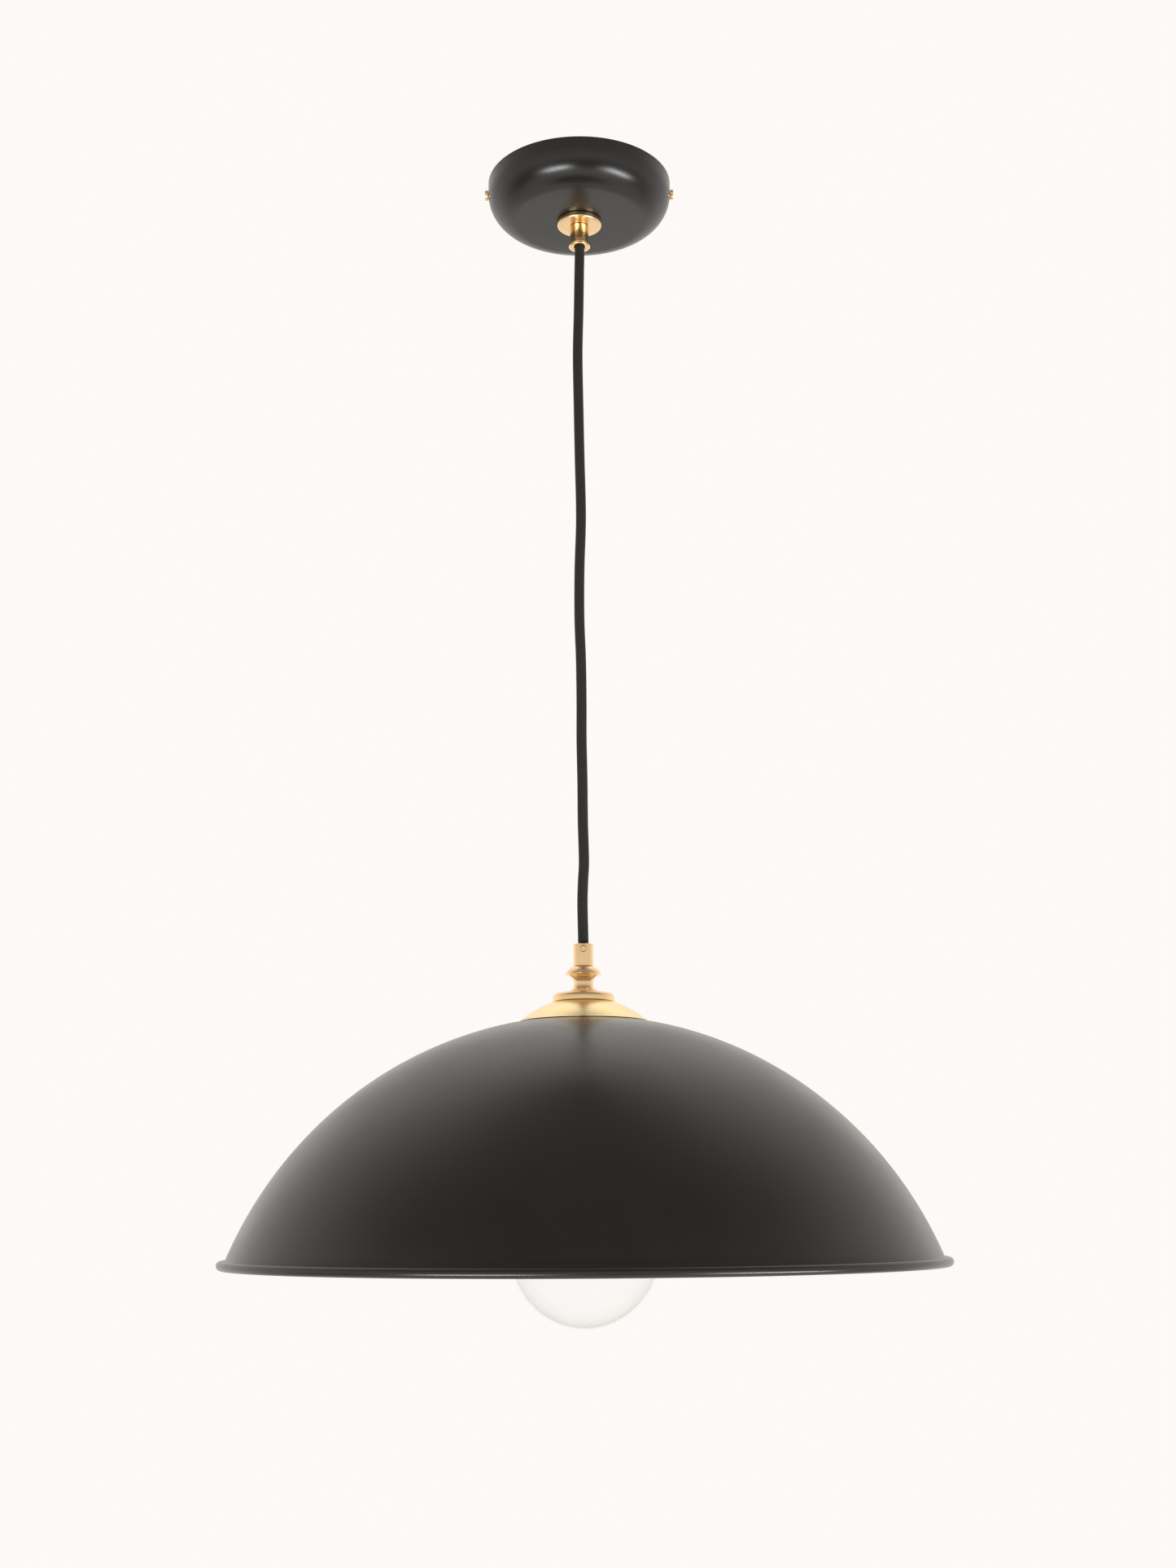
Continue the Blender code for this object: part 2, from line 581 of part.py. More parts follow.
def add_brass_cap():
    """The shallow spun cap that covers the shade's hole."""
    centre = CAP_EDGE - math.sqrt(CAP_DOME_RADIUS ** 2 - CAP_RADIUS ** 2)
    inner_radius = CAP_DOME_RADIUS - CAP_WALL
    inner_top = CAP_TOP - CAP_WALL
    outer_start = math.degrees(math.asin((CAP_EDGE - centre) / CAP_DOME_RADIUS))
    outer_end = math.degrees(math.asin((CAP_TOP - centre) / CAP_DOME_RADIUS))
    inner_start = math.degrees(math.asin((inner_top - centre) / inner_radius))
    inner_end = math.degrees(math.asin((CAP_EDGE - centre) / inner_radius))
    outline = arc((0, centre), CAP_DOME_RADIUS, outer_start, outer_end, 5)
    outline += [(M10_HOLE, CAP_TOP), (M10_HOLE, inner_top)]
    outline += arc((0, centre), inner_radius, inner_start, inner_end, 3)
    attach(turned("brass_cap", outline, 32, RIM_Z), "lamp", "satin_brass")


def add_disc():
    """The thick turned disc on the cap: a round upper edge and a crisp lower one."""
    upper = 0.0034
    lower = 0.0008
    outline = [(M10_HOLE, DISC_BOTTOM)]
    outline += arc((DISC_RADIUS - lower, DISC_BOTTOM + lower), lower, -90, 0, 2)
    outline += arc((DISC_RADIUS - upper, DISC_TOP - 0.0006 - upper), upper, 0, 80, 4)
    outline += [(0.0098, DISC_TOP), (M10_HOLE, DISC_TOP)]
    attach(turned("disc_washer", outline, 28, RIM_Z), "lamp", "polished_brass")


def add_coupler():
    """The turned coupler: a flared foot, a waist, a sharp-edged collar and a sloping shoulder."""
    foot_radius = 0.0096
    waist_radius = 0.0063
    tip_radius = 0.0115
    foot_rise = 0.0006
    foot_reach = (foot_radius - waist_radius, COUPLER_NECK - COUPLER_BOTTOM - foot_rise)
    foot = quarter((foot_radius, COUPLER_NECK), foot_reach, 270, 180, 4)
    flare_reach = (tip_radius - waist_radius, COUPLER_TIP - COUPLER_NECK)
    flare = quarter((tip_radius, COUPLER_NECK), flare_reach, 180, 90, 4)
    shoulder = bowed((tip_radius + 0.0001, COUPLER_TIP + 0.0004), (0.0067, COUPLER_TOP), -0.0006, 3)
    outline = [(M10_HOLE, COUPLER_BOTTOM), (foot_radius, COUPLER_BOTTOM)] + foot + flare[1:]
    outline += shoulder + [(M10_HOLE, COUPLER_TOP)]
    attach(turned("turned_coupler", outline, 24, RIM_Z), "lamp", "polished_brass")


def add_lamp_grip():
    """The cord grip on the lamp, screwed into the coupler."""
    bottom = COUPLER_TOP + GAP
    shank_bottom = NIPPLE_TOP + GAP
    round_edge = 0.0008
    outline = [(FLEX_BORE, shank_bottom), (M10_RADIUS, shank_bottom), (M10_RADIUS, bottom),
               (LAMP_GRIP_RADIUS, bottom)]
    outline += arc((LAMP_GRIP_RADIUS - round_edge, LAMP_GRIP_TOP - round_edge), round_edge, 0, 90, 3)
    outline += [(FLEX_BORE + 0.0005, LAMP_GRIP_TOP), (FLEX_BORE, LAMP_GRIP_TOP - 0.0005)]
    grip = turned("lamp_cord_grip", outline, 24, RIM_Z)
    grub_hole(grip, RIM_Z + LAMP_GRUB_HEIGHT, LAMP_GRIP_RADIUS)
    attach(grip, "lamp", "polished_brass")
    add_grub_screw("lamp_grub_screw", "lamp", RIM_Z + LAMP_GRUB_HEIGHT, 0.0059)


def add_nipple():
    """The all-thread tube that runs from the coupler down into the lampholder, and the shade's fixings."""
    outline = [(FLEX_BORE, NIPPLE_BOTTOM), (M10_RADIUS, NIPPLE_BOTTOM), (M10_RADIUS, NIPPLE_TOP),
               (FLEX_BORE, NIPPLE_TOP)]
    attach(turned("threaded_nipple", outline, 24, RIM_Z), "lamp", "polished_brass")
    washer_top = DOME_CENTRE + DOME_RADIUS - SHADE_WALL - WASHER_DROP
    washer_bottom = washer_top - 0.0015
    inner = washer("shade_washer", 0.0120, M10_HOLE, RIM_Z + washer_bottom, RIM_Z + washer_top)
    attach(inner, "lamp", "zinc_steel")
    nut_top = RIM_Z + washer_bottom - GAP
    attach(hex_nut("shade_locknut", 0.014, nut_top - 0.003, nut_top), "lamp", "polished_brass")


# ------------------------------------------------------------------ lampholder

def add_holder_cap():
    """The upper half of the lampholder, with a threaded boss for the nipple."""
    corner = 0.010
    boss_radius = 0.0078
    inner_wall = HOLDER_RADIUS - HOLDER_WALL
    centre = (HOLDER_RADIUS - corner, HOLDER_SHOULDER - corner)
    outline = [(M10_HOLE, HOLDER_BOSS_TOP), (M10_HOLE, HOLDER_SHOULDER - HOLDER_WALL)]
    outline += arc(centre, corner - HOLDER_WALL, 90, 0, 4)
    outline += [(inner_wall, HOLDER_JOINT), (HOLDER_RADIUS, HOLDER_JOINT)]
    outline += arc(centre, corner, 0, 90, 5)
    outline += [(boss_radius, HOLDER_SHOULDER), (boss_radius, HOLDER_BOSS_TOP)]
    attach(turned("holder_cap", outline, 24, RIM_Z), "lamp", "polished_brass")


def add_holder_skirt():
    """The lower half of the lampholder: a spigot that screws into the cap, a wall and a mouth."""
    inner_wall = HOLDER_RADIUS - HOLDER_WALL
    spigot_outer = inner_wall - GAP
    spigot_inner = INSERT_RADIUS + GAP
    spigot_top = HOLDER_JOINT + 0.0045
    wall_top = HOLDER_JOINT - GAP
    mouth_radius = 0.0153
    lip = 0.0009
    outline = [(spigot_inner, spigot_top), (spigot_inner, wall_top - 0.002), (inner_wall, wall_top - 0.003),
               (inner_wall, HOLDER_MOUTH + 2 * lip), (mouth_radius, HOLDER_MOUTH + lip),
               (mouth_radius, HOLDER_MOUTH), (HOLDER_RADIUS - lip, HOLDER_MOUTH),
               (HOLDER_RADIUS, HOLDER_MOUTH + lip),
               (HOLDER_RADIUS, wall_top), (spigot_outer, wall_top), (spigot_outer, spigot_top)]
    attach(turned("holder_skirt", outline, 24, RIM_Z), "lamp", "polished_brass")


def add_holder_insert():
    """The porcelain insert, the screw shell inside it and the spring contact on its floor."""
    bore = SHELL_RADIUS + GAP
    contact_hole = 0.0022
    outline = [(contact_hole, INSERT_FLOOR), (bore, INSERT_FLOOR), (bore, INSERT_BOTTOM),
               (INSERT_RADIUS, INSERT_BOTTOM), (INSERT_RADIUS, INSERT_TOP), (contact_hole, INSERT_TOP)]
    attach(turned("holder_insert", outline, 24, RIM_Z), "lamp", "porcelain")
    shell_top = INSERT_FLOOR - GAP
    shell_wall = 0.0005
    outline = [(SHELL_RADIUS - shell_wall, INSERT_BOTTOM + 0.001), (SHELL_RADIUS, INSERT_BOTTOM + 0.001),
               (SHELL_RADIUS, shell_top), (SHELL_RADIUS - shell_wall, shell_top)]
    attach(turned("holder_screw_shell", outline, 24, RIM_Z), "lamp", "polished_brass")
    contact_bottom = BULB_TIP_TOP + GAP
    contact_top = INSERT_FLOOR - GAP
    middle = (0, 0, RIM_Z + (contact_bottom + contact_top) / 2)
    contact = block("holder_centre_contact", middle, (0.0055, 0.017, contact_top - contact_bottom))
    rivet_middle = (0, 0, RIM_Z + (contact_top + INSERT_TOP) / 2)
    combine(contact, rod(0.0018, INSERT_TOP - contact_top, rivet_middle, (0, 0, 1), 16), "UNION")
    attach(contact, "lamp", "polished_brass")


def add_holder_terminals():
    """A post for each core on top of the insert, and the cores from the flex's lower end."""
    flex_end = FLEX_ROUTE[-1][1] - 2 * GAP
    finishes = {"live": "brown_pvc", "neutral": "blue_pvc", "earth": "green_pvc"}
    for angle, name in ((90, "live"), (210, "neutral"), (330, "earth")):
        across = Vector((math.cos(math.radians(angle)), math.sin(math.radians(angle)), 0))
        outline = [(0, INSERT_TOP + GAP), (POST_RADIUS, INSERT_TOP + GAP), (POST_RADIUS, POST_TOP),
                   (0, POST_TOP)]
        post = turned("holder_post_" + name, outline, 16, RIM_Z)
        post.location = across * POST_CIRCLE
        attach(post, "lamp", "nickel")
        up = Vector((0, 0, 1))
        end_z = RIM_Z + INSERT_TOP + 0.0028
        end = across * (POST_CIRCLE - POST_RADIUS - GAP) + up * end_z
        route = [across * CORE_SPREAD + up * flex_end, across * CORE_SPREAD + up * (flex_end - 0.002),
                 across * (CORE_SPREAD + 0.0020) + up * (end_z + 0.0012), end]
        core("holder_core_" + name, "lamp", route, finishes[name])


# ------------------------------------------------------------------ bulb

def add_globe():
    """The glass: a sphere that draws in to a straight neck, open at the top."""
    join_angle = 52
    shoulder_height = BULB_CAP_BOTTOM - GAP
    shoulder_radius = BULB_CAP_RADIUS + 0.0006

    def wall(sphere, neck, shoulder, steps):
        """One side of the glass, from the bottom of the globe up to the neck's rim."""
        globe = arc((0, GLOBE_CENTRE), sphere, -90, join_angle, steps)
        return globe + bowed(globe[-1], (shoulder, shoulder_height - 0.0012), -0.0035, 3)[1:] + [
            (neck, shoulder_height), (neck, NECK_TOP)]

    outer = wall(GLOBE_RADIUS, NECK_RADIUS, shoulder_radius, 9)
    inner = wall(GLOBE_RADIUS - GLASS_WALL, NECK_RADIUS - GLASS_WALL, shoulder_radius - GLASS_WALL, 8)
    outline = [(max(radius, 0), height) for radius, height in outer + inner[::-1]]
    outline[0] = (0, outline[0][1])
    outline[-1] = (0, outline[-1][1])
    attach(turned("bulb_globe", outline, 28, RIM_Z), "bulb", "clear_glass")


def add_bulb_cap():
    """The screw cap, its glass insulator and the contact at its tip."""
    wall = 0.0005
    lip_radius = 0.0100
    outline = [(BULB_CAP_RADIUS - wall, BULB_CAP_BOTTOM), (BULB_CAP_RADIUS, BULB_CAP_BOTTOM),
               (BULB_CAP_RADIUS, BULB_CAP_TOP - 0.0015), (lip_radius, BULB_CAP_TOP),
               (lip_radius, BULB_CAP_TOP - wall), (BULB_CAP_RADIUS - wall, BULB_CAP_TOP - 0.0015 - wall)]
    attach(turned("bulb_screw_cap", outline, 24, RIM_Z), "bulb", "nickel")
    tip_radius = 0.0048
    tip_bottom = BULB_TIP_TOP - 0.0018
    outline = [(0.0012, BULB_CAP_TOP - 0.001), (lip_radius - GAP, BULB_CAP_TOP - 0.001),
               (lip_radius - GAP, BULB_CAP_TOP + 0.0004), (tip_radius, tip_bottom - GAP),
               (0.0012, tip_bottom - GAP)]
    attach(turned("bulb_cap_insulator", outline, 20, RIM_Z), "bulb", "black_glass")
    crown = bowed((tip_radius, tip_bottom + 0.0006), (0, BULB_TIP_TOP), -0.0003, 2)
    outline = [(0, tip_bottom), (tip_radius, tip_bottom)] + crown
    attach(turned("bulb_tip_contact", outline, 16, RIM_Z), "bulb", "nickel")


def add_filament_mount():
    """The glass stem inside the globe, its two lead wires and the filament between them."""
    flare_top = NECK_TOP - 0.003
    outline = [(0, flare_top), (0.0085, flare_top), (0.0085, flare_top - 0.0012), (0.0046, flare_top - 0.009),
               (0.0036, STEM_BOTTOM + 0.008), (0.0042, STEM_BOTTOM + 0.002), (0.0020, STEM_BOTTOM),
               (0, STEM_BOTTOM)]
    attach(turned("bulb_stem", outline, 16, RIM_Z), "bulb", "clear_glass")
    wire_radius = 0.0004
    for name, side in (("bulb_lead_left", -1), ("bulb_lead_right", 1)):
        route = [(side * 0.0012, 0, STEM_BOTTOM - GAP), (side * 0.0030, 0, STEM_BOTTOM - 0.0055),
                 (side * 0.0085, 0, FILAMENT_HEIGHT + 0.0080),
                 (side * FILAMENT_RADIUS, 0, FILAMENT_HEIGHT + 0.0009)]
        path = [(x, y, RIM_Z + z) for x, y, z in smooth_path(route, 2)]
        attach(tube(name, path, wire_radius), "bulb", "nickel")
    steps = 18
    path = []
    for i in range(steps + 1):
        angle = math.pi * i / steps
        height = FILAMENT_HEIGHT + 0.0014 * math.cos(6 * angle) - 0.0014
        path.append((FILAMENT_RADIUS * math.cos(angle), FILAMENT_RADIUS * math.sin(angle), RIM_Z + height))
    attach(tube("bulb_filament", path, 0.0005), "bulb", "tungsten")


def main():
    clear_scene()
    add_bodies()
    add_bracket()
    add_rose_cup()
    add_side_screws()
    add_earth_terminal()
    add_terminal_block()
    add_rose_cores()
    add_rose_fixings()
    add_rose_flange()
    add_rose_grip()
    add_flex()
    add_shade()
    add_brass_cap()
    add_disc()
    add_coupler()
    add_lamp_grip()
    add_nipple()
    add_holder_cap()
    add_holder_skirt()
    add_holder_insert()
    add_holder_terminals()
    add_globe()
    add_bulb_cap()
    add_filament_mount()


main()
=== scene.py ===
"""Looks of the pendant ceiling light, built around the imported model."""
import json
import math

import bmesh
import bpy
from mathutils import Matrix, Vector


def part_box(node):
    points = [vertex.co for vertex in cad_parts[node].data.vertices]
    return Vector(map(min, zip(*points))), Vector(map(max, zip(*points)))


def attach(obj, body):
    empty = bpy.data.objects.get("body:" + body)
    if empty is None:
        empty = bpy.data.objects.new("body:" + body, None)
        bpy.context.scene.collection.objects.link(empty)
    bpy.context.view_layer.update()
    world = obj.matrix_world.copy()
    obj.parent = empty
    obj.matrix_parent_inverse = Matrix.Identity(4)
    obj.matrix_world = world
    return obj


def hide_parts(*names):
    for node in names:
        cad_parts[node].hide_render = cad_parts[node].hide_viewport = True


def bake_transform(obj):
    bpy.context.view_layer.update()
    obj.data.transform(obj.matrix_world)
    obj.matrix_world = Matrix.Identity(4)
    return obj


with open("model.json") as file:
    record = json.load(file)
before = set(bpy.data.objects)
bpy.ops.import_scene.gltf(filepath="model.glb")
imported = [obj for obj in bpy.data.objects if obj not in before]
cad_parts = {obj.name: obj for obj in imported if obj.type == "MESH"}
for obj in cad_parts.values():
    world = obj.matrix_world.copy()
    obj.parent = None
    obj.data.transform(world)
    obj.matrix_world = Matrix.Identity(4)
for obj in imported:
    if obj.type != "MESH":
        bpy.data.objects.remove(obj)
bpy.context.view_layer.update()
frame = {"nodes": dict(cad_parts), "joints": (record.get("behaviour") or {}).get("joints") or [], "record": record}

# ------------------------------------------------------------------ sizes, metres
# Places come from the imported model; the rest are the sizes that it was drawn with.
# Heights of the lamp's pieces are measured upwards from the rim plane, RIM_Z.
GAP = 0.0003                       # left between pieces that bear on each other
EDGE = 0.0003                      # break of a turned or spun edge
M10_HOLE = 0.00515
M10_RADIUS = 0.00485
M10_PITCH = 0.001
M10_THREAD_DEPTH = 0.00052
M10_RING_STEP = 0.000125           # between the rings of a fine thread's mesh
NUT_FLATS = 0.014
NUT_FACE_SHARE = 0.97              # of the radius to a flat, left where a nut's face is chamfered
NUT_CHAMFER_SLOPE = 1.9
GRUB_HOLE = 0.00225
SCREW_SLOT_WIDTH = 0.0008
SCREW_SLOT_DEPTH = 0.0009
SHARP_ANGLE = 35                   # degrees, above which an edge is shaded sharp

SHADE_LOW, SHADE_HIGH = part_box("shade")
SHADE_RADIUS = SHADE_HIGH.x
SHADE_WALL = 0.0008
BEAD_RADIUS = 0.00275
BEAD_START = 138                   # degrees, where the dome's outside runs into the bead
BEAD_END = -200                    # degrees, where the bead meets the dome's inside
RIM_Z = SHADE_LOW.z + BEAD_RADIUS
DOME_RADIUS = 0.2368
DOME_CENTRE = -0.0853
DOME_END_OUTSIDE = 0.2201          # radii at which the dome's two faces end
DOME_END_INSIDE = 0.2195

FLEX_RADIUS = 0.0033
FLEX_BORE = 0.0036
FLEX_ROUTE = [                     # x and z along the hanging flex
    (0.0, -0.017), (0.0, -0.052), (-0.0003, -0.068), (-0.0009, -0.098), (-0.00165, -0.129),
    (-0.00115, -0.174), (-0.0007, -0.204), (0.0, -0.248), (-0.0012, -0.286), (-0.0014, -0.319),
    (-0.00055, -0.348), (-0.0003, -0.376), (-0.0004, -0.403), (0.0, -0.431), (0.00015, -0.458),
    (0.0007, -0.485), (0.0, -0.498), (-0.0004, -0.512), (0.0, -0.539), (0.0, -0.6145),
]
FLEX_TOP = FLEX_ROUTE[0][1]
FLEX_BOTTOM = FLEX_ROUTE[-1][1]
FLEX_RING_STEP = 0.00045           # between the rings of the braid's mesh
FLEX_SIDES = 32
YARNS = 14                         # each way round the flex
YARN_LENGTH = 0.0015               # along the flex, from one yarn to the next
YARN_HEIGHT = 0.00024
YARN_SWELL = 0.00014               # yarn tops stand this far outside the plain flex
YARN_ACROSS = 0.7                  # powers that round a yarn off across its width
YARN_ALONG = 0.3                   # and along the length that shows
MIDDLE_HALF = 0.100                # half the length of the stretch that twists

ROSE_LOW, ROSE_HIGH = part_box("rose_cup")
ROSE_RADIUS = ROSE_HIGH.x
ROSE_BOTTOM = ROSE_LOW.z
ROSE_TOP = ROSE_HIGH.z
ROSE_CORNER = 0.0200
ROSE_WALL = 0.0012
ROSE_SLOT_HALF_WIDTH = 0.0022
FLANGE_CORNER = 0.0012
ROSE_GRIP_RADIUS = 0.00655
SIDE_SCREW_Z = -0.008
SIDE_SCREW_SHANK = 0.00195
SIDE_SCREW_LENGTH = 0.009
SIDE_SCREW_HEAD = 0.00365
SIDE_SCREW_HEAD_HEIGHT = 0.0024

CAP_SPHERE = 0.062
CAP_WALL = 0.001
COUPLER_FOOT = 0.0096
COUPLER_WAIST = 0.0063
COUPLER_COLLAR = 0.0115
COUPLER_SHOULDER = 0.0067
COUPLER_WAIST_HEIGHT = 0.1725
COUPLER_COLLAR_HEIGHT = 0.1783

HOLDER_CORNER = 0.010
HOLDER_WALL = 0.0009
HOLDER_BOSS = 0.0078
HOLDER_SHOULDER = 0.1240
SPIGOT_INNER = 0.0169
SKIRT_MOUTH = 0.0153
SKIRT_LIP = 0.0009

LAMP_THREAD_PITCH = 0.0036         # the rolled thread of the bulb and its holder
LAMP_THREAD_DEPTH = 0.00085
LAMP_THREAD_START = 0.0790         # heights between which the bulb's cap is threaded
LAMP_THREAD_END = 0.0905
LAMP_THREAD_RUN_IN = 0.001         # the thread deepens and fades over these heights
LAMP_THREAD_RUN_OUT = 0.0005
LAMP_RING_STEP = 0.0003            # between the rings of a rolled thread's mesh
SHEET = 0.0005                     # the sheet that the threads are rolled from

GLASS_WALL = 0.0008
GLASS_NECK = 0.0124
GLASS_SHOULDER = 0.0138
GLASS_SHOULDER_HEIGHT = 0.0712
CAP_LIP = 0.0100
LEAD_RADIUS = 0.0004
FILAMENT_HEIGHT = 0.0200
FILAMENT_CIRCLE = 0.0130           # radius of the half circle along which the filament hangs
FILAMENT_SAG = 0.0014
FILAMENT_COIL = 0.00040
FILAMENT_WIRE = 0.00009
FILAMENT_TURNS = 64
FILAMENT_POINTS = 9                # of the coil's path in each turn

# ------------------------------------------------------------------ camera, light and backdrop
SENSOR_MM = 36
LENS_MM = 43.76
CAMERA_PLACE = (0, -1.218, -0.706)
CAMERA_PITCH = 12.65               # degrees above level
CAMERA_YAW = -0.0030               # radians
CAMERA_ROLL = -0.00618             # radians

# Brightness of the room at each height, from straight down (-1) to straight up (1)
FRONT_LEVELS = [(-1.0, 0.05), (-0.5, 0.06), (-0.15, 0.90), (0.48, 0.62), (0.70, 0.25), (1.0, 0.34)]
BACK_LEVELS = [(-1.0, 0.08), (-0.65, 0.70), (-0.3, 1.20), (0.55, 1.00), (0.9, 1.50), (1.0, 0.40)]
FRONT_DEPTH = -0.35                # the front levels hold up to this depth, from -1 to 1,
BACK_DEPTH = 0.85                  # and the back levels hold from this one on
ROOM_COLOUR = (1.0, 0.955, 0.91, 1)
BACKDROP_COLOUR = (0.982, 0.950, 0.925, 1)

# Name, place, width and height, power in watts
WINDOWS = [
    ("window_left", (-0.98, -1.50, -1.70), (1.15, 0.40), 28),
    ("window_right", (1.55, -0.98, -1.70), (1.25, 0.40), 30),
]
WINDOW_TARGET = (0, 0, -0.1)

FLOOR_RADIUS = 2.2
FLOOR_Z = -2.4
FLOOR_GLOW = 0.28
FLOOR_GLOW_COLOUR = (1.0, 0.965, 0.94, 1)

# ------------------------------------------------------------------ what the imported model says
SLOTS = {part["node"]: part["material_slot"] for part in frame["record"]["subparts"]}
BODY_OF = {node: body for body, nodes in frame["record"]["behaviour"]["bodies"].items() for node in nodes}
JOINT_PLACES = {joint["name"]: Vector(joint.get("pos_m", (0, 0, 0))) for joint in frame["joints"]}


# ------------------------------------------------------------------ materials

# The sockets of a Mix node that mixes colours: its two inputs and its output
MIX_FIRST, MIX_SECOND, MIX_COLOUR = 6, 7, 2


def add_node(tree, kind, **settings):
    """A new shader node, with its inputs and its properties set by name."""
    node = tree.nodes.new(kind)
    for key, value in settings.items():
        if key in node.inputs:
            node.inputs[key].default_value = value
        else:
            setattr(node, key, value)
    return node


class Nodes:
    """A small helper that adds and links the shader nodes of one material."""

    NOISE_LOW = 0.3                # the range that most of a noise texture lies in
    NOISE_HIGH = 0.7

    def __init__(self, name, tint=(0.5, 0.5, 0.5), roughness=0.5, metallic=0.0):
        self.material = bpy.data.materials.new(name)
        self.material.use_nodes = True
        self.tree = self.material.node_tree
        self.shader = self.tree.nodes["Principled BSDF"]
        self.shader.inputs["Base Color"].default_value = (*tint, 1)
        self.shader.inputs["Roughness"].default_value = roughness
        self.shader.inputs["Metallic"].default_value = metallic
        self.place = self.add("ShaderNodeTexCoord").outputs["Object"]
        self.bumps = None

    def add(self, kind, **settings):
        return add_node(self.tree, kind, **settings)

    def link(self, source, target):
        self.tree.links.new(source, target)

    def scaled(self, scale):
        """Object coordinates, stretched by a factor along each axis."""
        mapping = self.add("ShaderNodeMapping", Scale=scale)
        self.link(self.place, mapping.inputs["Vector"])
        return mapping.outputs["Vector"]

    def noise(self, scale, detail=3.0, stretch=(1, 1, 1)):
        node = self.add("ShaderNodeTexNoise", Scale=scale, Detail=detail)
        self.link(self.scaled(stretch), node.inputs["Vector"])
        return node.outputs["Fac"]

    def spin_lines(self, scale):
        """Fine rings round the Z axis, as a lathe or a spinning tool leaves them."""
        split = self.add("ShaderNodeSeparateXYZ")
        self.link(self.place, split.inputs["Vector"])
        across = self.add("ShaderNodeCombineXYZ")
        self.link(split.outputs["X"], across.inputs["X"])
        self.link(split.outputs["Y"], across.inputs["Y"])
        radius = self.add("ShaderNodeVectorMath", operation="LENGTH")
        self.link(across.outputs["Vector"], radius.inputs[0])
        ring = self.add("ShaderNodeCombineXYZ")
        self.link(radius.outputs["Value"], ring.inputs["X"])
        self.link(split.outputs["Z"], ring.inputs["Z"])
        node = self.add("ShaderNodeTexNoise", Scale=scale, Detail=2.0, Roughness=0.6)
        self.link(ring.outputs["Vector"], node.inputs["Vector"])
        return node.outputs["Fac"]

    def remap(self, value, low, high):
        """A noise value, spread over a range."""
        node = self.add("ShaderNodeMapRange")
        node.inputs["From Min"].default_value = self.NOISE_LOW
        node.inputs["From Max"].default_value = self.NOISE_HIGH
        node.inputs["To Min"].default_value = low
        node.inputs["To Max"].default_value = high
        self.link(value, node.inputs["Value"])
        return node.outputs["Result"]

    def vary_roughness(self, value, low, high):
        self.link(self.remap(value, low, high), self.shader.inputs["Roughness"])

    def vary_colour(self, value, first, second):
        mix = self.add("ShaderNodeMix", data_type="RGBA")
        mix.inputs[MIX_FIRST].default_value = (*first, 1)
        mix.inputs[MIX_SECOND].default_value = (*second, 1)
        self.link(self.remap(value, 0, 1), mix.inputs[0])
        self.link(mix.outputs[MIX_COLOUR], self.shader.inputs["Base Color"])

    def bump(self, value, strength, distance):
        """A bump on top of the bumps that the material already has."""
        node = self.add("ShaderNodeBump", Strength=strength, Distance=distance)
        self.link(value, node.inputs["Height"])
        if self.bumps:
            self.link(self.bumps, node.inputs["Normal"])
        self.bumps = node.outputs["Normal"]
        self.link(self.bumps, self.shader.inputs["Normal"])


def black_paint(name):
    """Satin stove enamel on spun steel: a fine peel, faint spinning lines, uneven sheen."""
    made = Nodes(name, roughness=0.4)
    made.vary_colour(made.noise(38.0, 4.0), (0.0075, 0.0072, 0.0066), (0.0100, 0.0094, 0.0085))
    made.vary_roughness(made.noise(16.0, 5.0), 0.25, 0.32)
    made.bump(made.spin_lines(420.0), 0.04, 0.00006)
    made.bump(made.noise(1500.0, 2.0), 0.08, 0.00005)
    made.shader.inputs["Specular IOR Level"].default_value = 0.5
    return made.material


def brass(name, tint, deep, low, high, line_strength):
    """Lacquered brass with the rings that turning leaves and a slight change of warmth."""
    made = Nodes(name, metallic=1.0)
    made.vary_colour(made.noise(120.0, 3.0), tint, deep)
    made.vary_roughness(made.spin_lines(2600.0), low, high)
    made.bump(made.spin_lines(1500.0), line_strength, 0.00003)
    made.bump(made.noise(260.0, 1.0), 0.02, 0.00003)
    return made.material


def polished_brass(name):
    return brass(name, (0.96, 0.70, 0.40), (0.93, 0.66, 0.36), 0.20, 0.28, 0.05)


def satin_brass(name):
    return brass(name, (0.97, 0.79, 0.44), (0.95, 0.76, 0.40), 0.24, 0.33, 0.12)


def plated(name, tint, low, high):
    """Plated or drawn metal: cloudy sheen and fine grain."""
    made = Nodes(name, metallic=1.0)
    darker = tuple(0.86 * part for part in tint)
    made.vary_colour(made.noise(240.0, 4.0), tint, darker)
    made.vary_roughness(made.noise(900.0, 3.0), low, high)
    made.bump(made.noise(2400.0, 2.0), 0.12, 0.00003)
    return made.material


def fabric(name):
    """Black yarn: soft, with slightly greyer fibres, and a fine thread grain on each yarn."""
    made = Nodes(name, roughness=0.85)
    made.vary_colour(made.noise(2600.0, 4.0), (0.0070, 0.0066, 0.0060), (0.0155, 0.0145, 0.0130))
    made.vary_roughness(made.noise(1800.0), 0.75, 0.95)
    made.bump(made.noise(5200.0, 3.0, (1.0, 1.0, 0.35)), 0.5, 0.0001)
    made.shader.inputs["Sheen Weight"].default_value = 0.10
    made.shader.inputs["Sheen Roughness"].default_value = 0.4
    return made.material


def plastic(name, tint, shade, low, high):
    """Moulded nylon or a core's insulation: a dull sheen and a fine grain."""
    made = Nodes(name)
    made.vary_colour(made.noise(180.0, 3.0), tint, shade)
    made.vary_roughness(made.noise(600.0, 3.0), low, high)
    made.bump(made.noise(1700.0, 2.0), 0.08, 0.00004)
    return made.material


